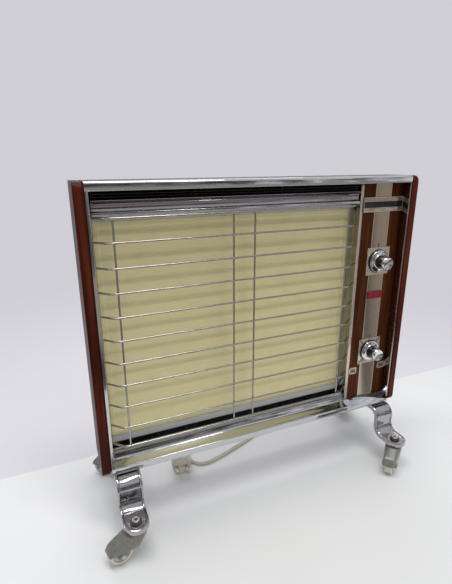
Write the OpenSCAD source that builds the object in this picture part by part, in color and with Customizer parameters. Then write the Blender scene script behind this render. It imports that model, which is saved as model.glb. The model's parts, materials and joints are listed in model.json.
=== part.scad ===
// Electric radiator on four casters: a shallow chrome-framed casing between two wooden sides, with a cream
// radiant panel behind a wire guard on the left and two control knobs on the right.
// The origin is on the floor below the middle of the casing. The front faces -Y.

/* [Casing] */
// Height of the chrome frame above its lower edge
frame_h = 485.5; // [475:0.5:540]
// Depth of the casing from the front face to the back
body_d = 86; // [84:1:110]
// Thickness of the painted steel sheet
sheet_t = 1.2; // [0.8:0.1:1.6]
// Thickness of the chromed front parts
chrome_t = 1.5; // [1:0.1:1.8]

/* [Wooden sides] */
// Thickness of each side board
side_t = 16; // [12:0.5:22]
// Radius of the front corners of a side board
side_r = 12; // [4:1:20]
// Width of the shadow groove beside the chrome frame
groove_w = 2.5; // [1:0.5:4]
// Depth of the shadow groove
groove_d = 3; // [1:0.5:6]

/* [Chrome rails] */
// Height of the flat rim at the bottom of the frame
rim_h = 12.5; // [10:0.5:18]
// Radius of the hollow sill behind the rim
cove_r = 24; // [22:0.5:26]
// Width of the flat lip behind the hollow sill
cove_lip = 5; // [3:0.5:7]
// Height of the face of the top rail
rail_h = 13.5; // [11:0.5:18]
// Rounding of the top rail's upper edge
rail_r = 4; // [3:0.5:6]
// Depth of the top rail's upper flange
rail_d = 22; // [16:1:30]
// Depth of the top rail's lower lip
rail_lip = 8; // [5:0.5:10]
// Width of the left upright's front lip
left_lip = 4; // [3:0.5:5]
// Width of the right upright's front lip
right_lip = 5; // [3:0.5:6]

/* [Heating side] */
// Distance from the frame's left edge to the radiant panel
panel_x = 10; // [8:0.5:14]
// Width of the radiant panel
panel_w = 482; // [440:1:560]
// Depth of the radiant panel's face behind the front
panel_y = 45; // [42:0.5:47]
// Height of the radiant panel's lower edge above the frame's lower edge
panel_z = 46.5; // [46:0.5:50]
// Depth of the radiant panel's folded edge
panel_fold = 9; // [4:0.5:10]
// Height of the grey strip below the panel
low_strip_h = 12.5; // [8:0.5:13]
// Height of the grey strip above the panel
top_strip_h = 8.5; // [6:0.5:10]
// Diameter of the heating rods
rod_heat_d = 8; // [6:0.5:8.5]
// Distance between the two legs of one heating rod
rod_heat_gap = 80; // [60:2:90]
// Thickness of the insulation board
board_t = 4; // [3:0.5:5]

/* [Air outlet] */
// Height of the opening between the radiant panel's top shelf and the top rail
outlet_h = 32.7; // [30:0.1:40]
// Height of the hollow reflector strip
reflector_h = 15; // [12:0.5:16]
// Radius of the hollow of the reflector strip
reflector_r = 10; // [9:0.5:14]
// Number of louvre slats
slats = 3; // [2:1:4]
// Height of the bezel bar
bezel_h = 5.5; // [4:0.5:7]
// Depth of the bezel bar's face behind the front
bezel_y = 8; // [7:0.5:10]

/* [Wire guard] */
// Diameter of the thin wires
wire_d = 3; // [2:0.5:4]
// Diameter of the top and bottom rods
rod_d = 4; // [3:0.5:5]
// Depth of the wires' centre behind the front
guard_y = 3.5; // [3:0.5:4.5]
// Number of cross wires between the rods
wires = 9; // [7:1:11]
// Height of the lowest cross wire above the frame's lower edge
wire_z = 84.5; // [75:0.5:90]
// Height of the bottom rod above the frame's lower edge
rod_z = 48; // [44:0.5:52]
// Distance between the outer uprights
guard_w = 426; // [400:1:430]
// Distance between the middle pair of uprights
pair_w = 39; // [20:1:80]
// Distance that a wire runs past the outer upright before it bends back
wire_over = 9; // [6:0.5:10]

/* [Control side] */
// Width of the control side, from the radiant panel to the frame's right edge
control_w = 108; // [98:1:130]
// Depth of the fascia behind the front
fascia_y = 20; // [18:0.5:23]
// Thickness of the wooden fascia
fascia_t = 6; // [4:0.5:8]
// Width of the chrome trim left of the fascia
trim_w = 6; // [4:0.5:8]
// Width of the centre stripe
stripe_w = 39; // [30:1:48]
// Thickness of the centre stripe
stripe_t = 0.8; // [0.6:0.1:1.2]
// Thickness of the dial plates and of the band
plate_t = 1.5; // [1:0.1:2]
// Side of a square dial plate
dial_w = 56; // [50:1:60]
// Distance of the upper knob below the top rail
selector_drop = 152; // [140:1:165]
// Height of the lower knob
thermostat_z = 125; // [110:1:140]
// Distance of the red lens below the upper knob
lens_drop = 70.5; // [60:0.5:80]
// Width of the red lens
lens_w = 35.5; // [28:0.5:38]
// Height of the red lens
lens_h = 14.5; // [10:0.5:18]
// Projection of the red lens from the stripe
lens_t = 4; // [2:0.5:6]
// Distance of the middle of the bare band below the top rail
band_drop = 40; // [32:0.5:48]
// Height of the bare band
band_h = 28; // [20:0.5:32]
// Height of the dark inlay in the band
inlay_h = 11; // [6:0.5:16]
// Height of the middle of the small label plates
label_z = 83; // [70:0.5:85]
// Width of a label plate
label_w = 19; // [14:0.5:22]
// Height of a label plate
label_h = 15; // [8:0.5:18]

/* [Knobs] */
// Diameter of the chrome skirt
skirt_d = 45; // [38:0.5:50]
// Height of the chrome skirt
skirt_h = 7.2; // [5:0.2:9]
// Diameter of the black grip
grip_d = 23; // [20:0.5:25]
// Diameter of the chrome cap
cap_d = 27; // [24:0.5:30]
// Thickness of the chrome cap
cap_h = 7; // [4:0.5:9]
// Length of a knob from the dial plate
knob_l = 30; // [26:0.5:34]
// Diameter of a spindle
spindle_d = 6; // [4:0.5:7]
// Side of the square switch housing
switch_w = 40; // [32:1:44]
// Depth of the switch housing
switch_d = 30; // [24:1:34]

/* [Legs] */
// Width of a leg
leg_w = 43; // [36:1:44]
// Thickness of the leg sheet
leg_t = 2; // [1.5:0.1:2.5]
// Depth of a leg's turned-in flanges
flange_h = 9; // [6:0.5:11]
// Distance from the frame's end to the middle of a leg
leg_x = 24.5; // [23:0.5:60]
// Distance from the casing to the caster's pivot
leg_reach = 57; // [54:1:64]
// Distance from the casing's underside down to the pad
leg_drop = 51.5; // [48:0.5:60]
// Forward bulge of the leg below the casing
leg_bulge = 24; // [23:0.5:28]
// Radius of the upper bend
upper_r = 22; // [20:0.5:23]
// Radius of the lower bend
lower_r = 20; // [18:0.5:24]
// Length of the tab under the casing
tab_l = 34; // [28:1:38]

/* [Casters] */
// Height from the floor to the top of the leg's pad
caster_h = 64; // [62:0.5:70]
// Diameter of a wheel
wheel_d = 40; // [36:1:42]
// Width of a wheel's tread
wheel_w = 16; // [12:0.5:18]
// Distance from the pivot to the axle
trail = 30; // [29.5:0.5:34]
// Diameter of the fork's round head
hub_d = 33; // [30:0.5:34]
// Wall of the fork's hood
hood_t = 2.4; // [2:0.1:3]
// Diameter of the pivot
pivot_d = 8; // [6:0.5:8]
// Diameter of the axle
axle_d = 4; // [3:0.5:5]
// Direction of the front left wheel from its pivot
front_left_turn = 192; // [180:1:230]
// Direction of the front right wheel from its pivot
front_right_turn = 216; // [200:1:218]

/* [Mains lead] */
// Diameter of the lead
cord_d = 7; // [6:0.1:7.2]
// Diameter of the plug
plug_d = 39; // [36:0.5:40]
// Length of the plug's body
plug_l = 40; // [34:1:44]
// Length of the plug's tapered sleeve
sleeve_l = 22; // [20:1:30]
// Diameter of a plug pin
pin_d = 4.8; // [4:0.1:5]
// Length of a plug pin
pin_l = 19; // [17:0.5:19]
// Distance between the plug pins
pin_gap = 19; // [17:0.5:20]
// Outer radius of the coiled lead, at the middle of its outer turn
coil_r = 48; // [46:0.5:52]
// Number of turns in the coil
coil_turns = 4.5; // [2.5:1:4.5]
// Height of the cord gland above the casing's underside
gland_z = 22.5; // [16:0.5:30]
// Length of the gland's tapered sleeve
gland_l = 30; // [25:1:33]

/* [Hidden] */
$fn = 64;

// Clearances
fit = 0.05;
gap = 0.3;

// Heights, all measured up from the casing's underside
rail_z = frame_h - rail_h;
shelf_z = rail_z - outlet_h;
strip_top = shelf_z - 6.8;
panel_top = strip_top - top_strip_h;
panel_h = panel_top - panel_z;
strip_z = panel_z - low_strip_h;
reflector_z = shelf_z + sheet_t;
ledge_z = rim_h + 3.5;
cove_top = rim_h + cove_r * (1 - sin(10));
selector_z = rail_z - selector_drop;
lens_z = selector_z - lens_drop;
band_z = rail_z - band_drop;

// Depths
cove_y = 2;
cove_back = cove_y + cove_r * cos(10) + cove_lip;
rods_y = panel_y + panel_fold + 2 + rod_heat_d / 2;
bracket_y = rods_y + rod_heat_d / 2;
board_y = bracket_y + sheet_t;
board_back = board_y + board_t;
shelf_y = 18;
plate_y = fascia_y - stripe_t - plate_t;
bracket_front = fascia_y + fascia_t;
switch_y = bracket_front + sheet_t;

// Widths
panel_right = panel_x + panel_w;
frame_w = panel_right + control_w;
divider_front = panel_right + 4;
fascia_x = divider_front + sheet_t + trim_w;
fascia_right = frame_w - sheet_t;
control_x = (fascia_x + fascia_right) / 2 - 0.5;
guard_x = panel_x + panel_w / 2 - 2.5;

// Casters, measured from the floor
underside = caster_h + leg_drop;
wheel_r = wheel_d / 2;
hood_w = wheel_w + 2 * (1 + hood_t);
hood_r = wheel_r + 1 + hood_t;
boss_w = hood_w + 5;
head_top = caster_h - leg_t - gap;
seat_z = head_top - 19.7;
rear_left_turn = 360 - front_right_turn;
rear_right_turn = front_left_turn - 180;

// The free lead, in millimetres from the origin, as it lies
gland_x = frame_w / 3;
coil_x = frame_w / 20;
coil_y = 172;
plug_end = [-141 * frame_w / 600, 111];
plug_turn = 80;
layer = 7.5;
RUN_A = [
    [200, 76, 138], [200, 92, 138], [200, 108, 136], [200, 123, 129], [199, 136, 117], [198, 145, 101],
    [196, 151, 83], [194, 154, 65], [191, 156, 47], [187, 158, 30], [179, 160, 15], [165, 160, 6],
    [148, 157, 3.5], [130, 151, 3.5], [112, 143, 3.5], [94, 134, 3.5], [77, 124, 3.5], [60, 113, 3.5],
    [42, 103, 3.5], [24, 95, 3.5], [6, 88, 3.5], [-13, 81, 3.5], [-32, 74, 3.5], [-49, 68, 3.5],
    [-65, 63, 3.5], [-80, 59, 3.5], [-96, 57, 3.5], [-110, 61, 3.5], [-120, 71, 3.5], [-124, 85, 3.5],
    [-121, 99, 3.5], [-112, 112, 3.5], [-98, 122, 3.5], [-82, 128, 3.5], [-64, 130, 3.5],
    [-45, 130, 3.5], [-26, 128, 3.5], [-8, 125, 3.5], [8, 124, 3.5], [23, 124, 3.5]
];
RUN_B = [
    [23, 220, 11], [14, 220, 11], [-2, 220, 9], [-18, 219, 5.5], [-35, 217, 3.5], [-53, 214, 3.5],
    [-71, 210, 3.5], [-88, 205, 3.5], [-104, 197, 3.5], [-117, 186, 4], [-127, 173, 6], [-133, 158, 10],
    [-136, 144, 14.5], [-138, 131, 18.5], [-139.6, 119, 19.5], [-141, 111, 19.5]
];

// Spreads a route of the lead with the width of the frame
function spread(route) = [for (p = route) [p[0] * frame_w / 600, p[1], p[2]]];

// Places a child measured from the casing's lower left front corner
module in_body() {
    translate([-frame_w / 2, -body_d / 2, underside]) children();
}

// Extrudes a side outline of depth and height from x0 to x1
module along_x(x0, x1) {
    translate([x0, 0, 0]) rotate([90, 0, 90]) linear_extrude(x1 - x0) children();
}

// Extrudes a front outline of width and height from y0 back to y1
module along_y(y0, y1) {
    translate([0, y1, 0]) rotate([90, 0, 0]) linear_extrude(y1 - y0) children();
}

// A box between two corners
module block(a, b) {
    translate(a) cube(b - a);
}

// A rod that runs back from y0 to y1
module rod_y(x, z, d, y0, y1) {
    translate([x, y1, z]) rotate([90, 0, 0]) cylinder(d = d, h = y1 - y0);
}

// A ring sector between two radii, for a quarter that starts at a
module quarter(r0, r1, a) {
    intersection() {
        difference() {
            circle(r1);
            if (r0 > 0) circle(r0);
        }
        rotate(a) square(r1);
    }
}

// A rectangle with round corners
module round_rect(w, h, r) {
    translate([r, 0]) square([w - 2 * r, h]);
    translate([0, r]) square([w, h - 2 * r]);
    for (x = [r, w - r], y = [r, h - r]) translate([x, y]) circle(r);
}

// Rings of a tube along a path, each carried on from the one before without twist
function unit(v) = v / norm(v);
function tangents(p) = [
    for (i = [0 : len(p) - 1]) unit(p[min(i + 1, len(p) - 1)] - p[max(i - 1, 0)])
];
function carry(t, i, n) = i == len(t) ? [] :
    let (m = unit(n - (n * t[i]) * t[i])) concat([m], carry(t, i + 1, m));

module tube(path, r, sides, first, last, up = [0, 0, 1]) {
    mid = tangents(path);
    t = [for (i = [0 : len(mid) - 1]) i == 0 ? first : i == len(mid) - 1 ? last : mid[i]];
    n = carry(t, 0, up);
    pts = [
        for (i = [0 : len(path) - 1], k = [0 : sides - 1])
            let (a = 360 * k / sides, b = cross(t[i], n[i]))
                path[i] + r * (cos(a) * n[i] + sin(a) * b)
    ];
    last_ring = (len(path) - 1) * sides;
    wall = [
        for (i = [0 : len(path) - 2], k = [0 : sides - 1])
            let (a = i * sides + k, b = i * sides + (k + 1) % sides)
                each [[a, a + sides, b + sides], [a, b + sides, b]]
    ];
    ends = [
        for (k = [1 : sides - 2])
            each [[0, k, k + 1], [last_ring, last_ring + k + 1, last_ring + k]]
    ];
    polyhedron(pts, concat(wall, ends));
}

// Wooden sides
module side_board() {
    module outline(inset) {
        d = body_d - 2 * inset;
        h = frame_h - 2 * inset;
        r = max(side_r - inset, 1);
        translate([inset, inset]) {
            translate([r, 0]) square([d - r, h]);
            translate([0, r]) square([d, h - 2 * r]);
            for (z = [r, h - r]) translate([r, z]) circle(r);
        }
    }
    along_x(groove_w, side_t) outline(0);
    along_x(0, groove_w) outline(groove_d);
}
module side_panel_left() {
    color([0.24, 0.07, 0.05]) in_body() mirror([1, 0, 0]) side_board();
}
module side_panel_right() {
    color([0.24, 0.07, 0.05]) in_body() translate([frame_w, 0, 0]) side_board();
}

// Chrome frame
module top_rail() {
    color([0.75, 0.76, 0.78]) in_body() along_x(0, frame_w) {
        translate([0, rail_z]) square([chrome_t, rail_h - rail_r]);
        translate([rail_r, frame_h - rail_r]) quarter(rail_r - chrome_t, rail_r, 90);
        translate([rail_r, frame_h - chrome_t]) square([rail_d - rail_r, chrome_t]);
        translate([0, rail_z]) square([rail_lip, chrome_t]);
    }
}

module bottom_rail() {
    cove_end = panel_right - 0.2;
    sweep = 80;
    module hollow_sill() {
        intersection() {
            translate([cove_y, rim_h + cove_r]) difference() {
                circle(cove_r + chrome_t);
                circle(cove_r);
            }
            translate([cove_y, rim_h + cove_r]) rotate(-90)
                polygon([[0, 0], [60, 0], [60, 60], [60 * cos(sweep), 60 * sin(sweep)]]);
        }
        translate([cove_back - cove_lip, cove_top - chrome_t / 2]) square([cove_lip, chrome_t]);
    }
    module end_web() {
        difference() {
            translate([cove_y, rim_h - chrome_t]) square([cove_back - cove_y - cove_lip, cove_top - rim_h]);
            translate([cove_y, rim_h + cove_r]) circle(cove_r);
        }
    }
    color([0.75, 0.76, 0.78]) in_body() {
        along_x(0, frame_w) {
            square([chrome_t, rim_h]);
            translate([0, rim_h - chrome_t]) square([cove_y, chrome_t]);
        }
        along_x(0, cove_end) hollow_sill();
        along_x(cove_end - chrome_t, cove_end) end_web();
        along_x(cove_end, frame_w) polygon([
            [cove_y, rim_h - chrome_t], [cove_y, rim_h], [fascia_y, ledge_z],
            [bracket_front, ledge_z], [bracket_front, ledge_z - chrome_t],
            [fascia_y, ledge_z - chrome_t]
        ]);
    }
}

module left_upright() {
    low = rod_z - 1;
    wall_x = panel_x - sheet_t;
    color([0.75, 0.76, 0.78]) in_body() {
        translate([0, 0, low]) linear_extrude(rail_z - low) {
            polygon([
                [0, 0], [left_lip + sheet_t, 0], [panel_x, panel_y], [wall_x, panel_y],
                [left_lip, chrome_t], [0, chrome_t]
            ]);
        }
        translate([0, 0, sheet_t]) linear_extrude(rail_z - sheet_t) {
            translate([wall_x, panel_y]) square([sheet_t, board_back + sheet_t - panel_y]);
            translate([wall_x, board_back]) square([14, sheet_t]);
        }
    }
}

module right_upright() {
    color([0.75, 0.76, 0.78]) in_body() {
        block([frame_w - right_lip, 0, rim_h], [frame_w, chrome_t, rail_z]);
        block([frame_w - sheet_t, chrome_t, ledge_z], [frame_w, board_back + sheet_t, rail_z]);
    }
}

module divider_wall() {
    front_x = divider_front;
    color([0.75, 0.76, 0.78]) in_body() difference() {
        union() {
            translate([0, 0, ledge_z]) linear_extrude(rail_z - ledge_z) polygon([
                [front_x, fascia_y], [fascia_x, fascia_y], [fascia_x, fascia_y + sheet_t],
                [front_x + sheet_t, fascia_y + sheet_t], [panel_right + sheet_t, panel_y],
                [panel_right, panel_y]
            ]);
            translate([0, 0, sheet_t]) linear_extrude(rail_z - sheet_t) {
                translate([panel_right, panel_y]) square([sheet_t, board_back + sheet_t - panel_y]);
                translate([panel_right - 13, board_back]) square([13 + sheet_t, sheet_t]);
            }
        }
        for (z = rod_heights()) translate([panel_right - 1, rods_y, z]) rotate([0, 90, 0])
            cylinder(d = rod_heat_d + 2, h = 4);
    }
}

// Air outlet, reflector and bezel above the radiant panel
outlet_x = panel_x + 0.2;
outlet_right = panel_right - 0.5;
module outlet_louvres() {
    pitch = (rail_z - reflector_z - reflector_h) / (slats + 1);
    color([0.06, 0.06, 0.06]) in_body() {
        block([outlet_x, shelf_y, shelf_z], [outlet_right, panel_y, shelf_z + sheet_t]);
        block([outlet_x, rail_lip, rail_z - sheet_t], [outlet_right, panel_y, rail_z]);
        block([outlet_x, panel_y - sheet_t, shelf_z], [outlet_right, panel_y, rail_z]);
        for (k = [1 : slats])
            block(
                [outlet_x, shelf_y + 5, reflector_z + reflector_h + k * pitch - 0.5],
                [outlet_right, panel_y - sheet_t, reflector_z + reflector_h + k * pitch + 0.5]
            );
        for (k = [0 : 3]) {
            x = outlet_x + (outlet_right - outlet_x - sheet_t) * k / 3;
            block([x, shelf_y + 9, shelf_z], [x + sheet_t, panel_y, rail_z]);
        }
    }
}

module reflector_strip() {
    y = reflector_r * cos(asin(reflector_h / 2 / reflector_r));
    color([0.75, 0.76, 0.78]) in_body() along_x(outlet_x - 2, outlet_right) intersection() {
        translate([shelf_y - 2.5 - y + chrome_t, reflector_z + reflector_h / 2]) difference() {
            circle(reflector_r + chrome_t);
            circle(reflector_r);
        }
        translate([shelf_y - 6, reflector_z]) square([reflector_r + 6, reflector_h]);
    }
}

module bezel_bar() {
    top = shelf_z + sheet_t + 0.8;
    color([0.75, 0.76, 0.78]) in_body() along_x(outlet_x - 2.6, panel_right - 7) {
        translate([bezel_y, top - bezel_h]) square([sheet_t, bezel_h]);
        translate([bezel_y, top - sheet_t - 0.8]) square([shelf_y - bezel_y, sheet_t]);
        translate([bezel_y, top - bezel_h]) square([6, sheet_t]);
    }
}

// Wire guard: cross wires with both ends bent back to the walls, welded to four uprights
module wire_guard() {
    half = guard_w / 2 + wire_over;
    back_y = guard_y + (panel_y - guard_y) * 0.446;
    top_z = strip_top + 0.5;
    pitch = (top_z - 36.1 - wire_z) / (wires - 1);
    reach = guard_x - panel_x + 1.1;
    far = panel_right + 2.6 - guard_x;
    module cross_wire(z, d) {
        route = [
            [guard_x - reach, back_y, z], [guard_x - half - 3, guard_y + 2.5, z],
            [guard_x - half, guard_y + 0.6, z], [guard_x - half + 4, guard_y, z],
            [guard_x + half - 4, guard_y, z], [guard_x + half, guard_y + 0.6, z],
            [guard_x + half + 3, guard_y + 2.5, z], [guard_x + far, back_y, z]
        ];
        tube(route, d / 2, 8, unit(route[1] - route[0]), unit(route[7] - route[6]));
    }
    color([0.78, 0.78, 0.8]) in_body() {
        for (k = [0 : wires - 1]) cross_wire(wire_z + k * pitch, wire_d);
        cross_wire(rod_z, rod_d);
        cross_wire(top_z, rod_d);
        for (x = [-guard_w / 2, -pair_w / 2, pair_w / 2, guard_w / 2])
            translate([guard_x + x, guard_y + wire_d - 0.3, rod_z])
                cylinder(d = wire_d, h = top_z - rod_z, $fn = 12);
    }
}

// Radiant panel and what is behind it
module radiant_panel() {
    color([0.88, 0.84, 0.66]) in_body() difference() {
        block([panel_x, panel_y, panel_z], [panel_right, panel_y + panel_fold, panel_top]);
        block(
            [panel_x + sheet_t, panel_y + sheet_t, panel_z + sheet_t],
            [panel_right - sheet_t, panel_y + panel_fold + 1, panel_top - sheet_t]
        );
    }
}

module panel_strips() {
    color([0.55, 0.56, 0.57]) in_body() along_x(panel_x, panel_right) {
        translate([panel_y - sheet_t, strip_z]) square([sheet_t, low_strip_h]);
        translate([panel_y - sheet_t, panel_z - sheet_t]) square([panel_fold + sheet_t, sheet_t]);
        translate([panel_y - sheet_t, panel_top]) square([sheet_t, top_strip_h]);
        translate([panel_y - sheet_t, panel_top]) square([panel_fold + sheet_t, sheet_t]);
    }
}

function rod_heights() = [
    for (k = [-1, 1], s = [-1, 1])
        panel_z + panel_h / 2 + k * (rod_heat_gap + 20) / 2 * 1.05 + s * rod_heat_gap / 2
];
module heating_element() {
    left = panel_x + panel_w * 0.06 + rod_heat_gap / 2;
    right = panel_right + 12;
    color([0.35, 0.33, 0.32]) in_body() for (k = [0, 1]) {
        low = rod_heights()[2 * k];
        for (z = [low, low + rod_heat_gap]) translate([left, rods_y, z]) rotate([0, 90, 0])
            cylinder(d = rod_heat_d, h = right - left);
        translate([left, rods_y, low + rod_heat_gap / 2]) rotate([90, 90, 0]) rotate([0, 0, 180])
            rotate_extrude(angle = 180) translate([rod_heat_gap / 2, 0]) circle(d = rod_heat_d);
    }
}

bracket_xs = [panel_x + panel_w * 0.22, panel_x + panel_w * 0.8];
module element_brackets() {
    color([0.6, 0.6, 0.6]) in_body() for (x = bracket_xs) difference() {
        union() {
            block([x - 8, bracket_y, panel_z], [x + 8, board_y, panel_top]);
            for (z = rod_heights())
                block([x - 8, rods_y - 1, z - rod_heat_d / 2 - 2], [x + 8, board_y, z + rod_heat_d / 2 + 2]);
        }
        for (z = rod_heights()) translate([x - 9, rods_y, z]) rotate([0, 90, 0])
            cylinder(d = rod_heat_d + 2 * fit, h = 18);
        for (z = rod_heights())
            block([x - 9, rods_y - 2, z - rod_heat_d / 2 - fit], [x + 9, rods_y, z + rod_heat_d / 2 + fit]);
    }
}

module insulation_board() {
    color([0.1, 0.1, 0.1]) in_body()
        block([panel_x, board_y, sheet_t], [panel_right, board_back, rail_z]);
}

cutout_z = panel_top - 40;
module thermal_cutout() {
    color([0.8, 0.78, 0.7]) in_body() {
        rod_y(panel_x + panel_w * 0.55, cutout_z, 18, board_back, board_back + 6);
        for (s = [-1, 1])
            block(
                [panel_x + panel_w * 0.55 + s * 5 - 2, board_back + 6, cutout_z - 0.4],
                [panel_x + panel_w * 0.55 + s * 5 + 2, board_back + 10, cutout_z + 0.4]
            );
    }
}

// Rear cover and base pan
cover_screw_xs = [for (k = [0 : 3]) 60 + k * (frame_w - 120) / 3];
vent_pitch = frame_w / 13;
module rear_cover() {
    slot_w = vent_pitch * 0.56;
    slot_h = 6;
    color([0.13, 0.1, 0.09]) in_body() difference() {
        union() {
            block([0, body_d - sheet_t, 0], [frame_w, body_d, frame_h]);
            block([0, rail_d, frame_h - sheet_t], [frame_w, body_d, frame_h]);
        }
        for (row = [0 : 3], k = [0 : 10], top = [0, 1])
            translate([
                frame_w / 2 + (k - 5) * vent_pitch, 0,
                top == 1 ? frame_h - 40 - row * 16 : 52 + row * 16
            ]) along_y(body_d - sheet_t - 1, body_d + 1)
                translate([-slot_w / 2, -slot_h / 2]) round_rect(slot_w, slot_h, slot_h / 2 - 0.1);
        for (x = cover_screw_xs) rod_y(x, 7, 4.2, body_d - sheet_t - 1, body_d + 1);
        rod_y(gland_x + frame_w / 2, gland_z, 14 + 2 * fit, body_d - sheet_t - 1, body_d + 1);
    }
}

module base_pan() {
    color([0.13, 0.1, 0.09]) in_body() difference() {
        union() {
            block([0, chrome_t, 0], [frame_w, body_d - sheet_t, sheet_t]);
            block([0, body_d - 2 * sheet_t, 0], [frame_w, body_d - sheet_t, 14]);
        }
        for (k = [0 : 8], row = [0, 1])
            translate([frame_w / 2 + (k - 4.3) * vent_pitch, body_d / 2 - 10 + row * 14, -1])
                cube([vent_pitch * 0.6, 6, sheet_t + 2]);
        for (x = cover_screw_xs) rod_y(x, 7, 4.2, body_d - 2 * sheet_t - 1, body_d);
        for (x = [leg_x, frame_w - leg_x], y = [tab_screw_y, body_d - tab_screw_y], s = [-1, 1])
            translate([x + s * 9, y, -1]) cylinder(d = 4.2, h = sheet_t + 2);
    }
}

// Control side
module control_fascia() {
    color([0.22, 0.09, 0.05]) in_body() difference() {
        block([fascia_x, fascia_y, ledge_z], [fascia_right, bracket_front, rail_z]);
        for (z = [selector_z, thermostat_z])
            rod_y(control_x, z, spindle_d + 8, fascia_y - 1, bracket_front + 1);
        block(
            [control_x - lens_w / 2 + 2, fascia_y - 1, lens_z - lens_h / 2 + 1.5],
            [control_x + lens_w / 2 - 2, bracket_front + 1, lens_z + lens_h / 2 - 1.5]
        );
    }
}

module fascia_stripe() {
    color([0.72, 0.66, 0.56]) in_body() difference() {
        block(
            [control_x - stripe_w / 2, fascia_y - stripe_t, ledge_z],
            [control_x + stripe_w / 2, fascia_y, rail_z]
        );
        for (z = [selector_z, thermostat_z])
            rod_y(control_x, z, spindle_d + 6, fascia_y - stripe_t - 1, fascia_y + 1);
        block(
            [control_x - lens_w / 2 + 2, fascia_y - stripe_t - 1, lens_z - lens_h / 2 + 1.5],
            [control_x + lens_w / 2 - 2, fascia_y + 1, lens_z + lens_h / 2 - 1.5]
        );
    }
}

module name_band() {
    color([0.72, 0.66, 0.56]) in_body() block(
        [fascia_x + 0.3, plate_y, band_z - band_h / 2],
        [fascia_right - 0.3, plate_y + plate_t, band_z + band_h / 2]
    );
}

module band_inlay() {
    color([0.05, 0.05, 0.05]) in_body() block(
        [fascia_x + 1.5, plate_y - 0.5, band_z - inlay_h / 2],
        [fascia_right - 1.5, plate_y, band_z + inlay_h / 2]
    );
}

module label_plates() {
    color([0.72, 0.66, 0.56]) in_body() for (x = [fascia_x + 0.5, fascia_right - 0.5 - label_w])
        block(
            [x, fascia_y - stripe_t, label_z - label_h / 2],
            [x + label_w, fascia_y, label_z + label_h / 2]
        );
}

module dial_plates() {
    color([0.72, 0.66, 0.56]) in_body() for (z = [selector_z, thermostat_z]) difference() {
        translate([control_x - dial_w / 2, 0, z - dial_w / 2])
            along_y(plate_y, plate_y + plate_t) round_rect(dial_w, dial_w, 1);
        rod_y(control_x, z, spindle_d + 4, plate_y - 1, plate_y + plate_t + 1);
    }
}

module indicator_lens() {
    front = fascia_y - stripe_t;
    color([0.5, 0.03, 0.05]) in_body() {
        translate([control_x - lens_w / 2, 0, lens_z - lens_h / 2])
            along_y(front - lens_t, front) round_rect(lens_w, lens_h, 1.2);
        block(
            [control_x - lens_w / 2 + 2.3, front, lens_z - lens_h / 2 + 1.8],
            [control_x + lens_w / 2 - 2.3, switch_y, lens_z + lens_h / 2 - 1.8]
        );
    }
}

module indicator_lamp() {
    color([0.85, 0.8, 0.75]) in_body() {
        block([control_x - 18, switch_y, lens_z - 8], [control_x + 18, switch_y + 2, lens_z + 8]);
        rod_y(control_x, lens_z, 9, switch_y + 2, switch_y + 18);
    }
}

module switch_bracket() {
    color([0.6, 0.6, 0.6]) in_body() difference() {
        block(
            [control_x - dial_w / 2 - 4, bracket_front, thermostat_z - dial_w / 2 - 17],
            [control_x + dial_w / 2 + 4, switch_y, selector_z + dial_w / 2 + 17]
        );
        for (z = [selector_z, thermostat_z])
            rod_y(control_x, z, spindle_d + 4 + 2 * fit, bracket_front - 1, switch_y + 1);
        block(
            [control_x - lens_w / 2 + 2, bracket_front - 1, lens_z - lens_h / 2 + 1.5],
            [control_x + lens_w / 2 - 2, switch_y + 1, lens_z + lens_h / 2 - 1.5]
        );
    }
}

// A switch housing with its bush, bored for the spindle
module housing(z, w, h) {
    difference() {
        union() {
            block(
                [control_x - w / 2, switch_y, z - h / 2],
                [control_x + w / 2, switch_y + switch_d, z + h / 2]
            );
            rod_y(control_x, z, spindle_d + 4, fascia_y + 1, switch_y + 1);
        }
        rod_y(control_x, z, spindle_d + 2 * fit, fascia_y, switch_y + switch_d - 6);
    }
    for (s = [-1, 1], k = [-1, 1])
        block(
            [control_x + s * w / 4 - 2.5, switch_y + switch_d, z + k * h / 4 - 0.4],
            [control_x + s * w / 4 + 2.5, switch_y + switch_d + 6, z + k * h / 4 + 0.4]
        );
}
module selector_switch() {
    color([0.15, 0.15, 0.16]) in_body() housing(selector_z, switch_w, switch_w);
}
module thermostat() {
    color([0.75, 0.72, 0.62]) in_body() housing(thermostat_z, switch_w - 4, switch_w + 6);
}

block_x = control_x - 40;
block_w = 50;
block_y = board_back - 12;
module terminal_block() {
    color([0.85, 0.83, 0.76]) in_body() {
        block([block_x, block_y, sheet_t], [block_x + block_w, block_y + 16, sheet_t + 14]);
        for (k = [0 : 4])
            block(
                [block_x + 1 + k * 10, block_y + 3, sheet_t + 14],
                [block_x + 7 + k * 10, block_y + 13, sheet_t + 19]
            );
    }
}

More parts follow.
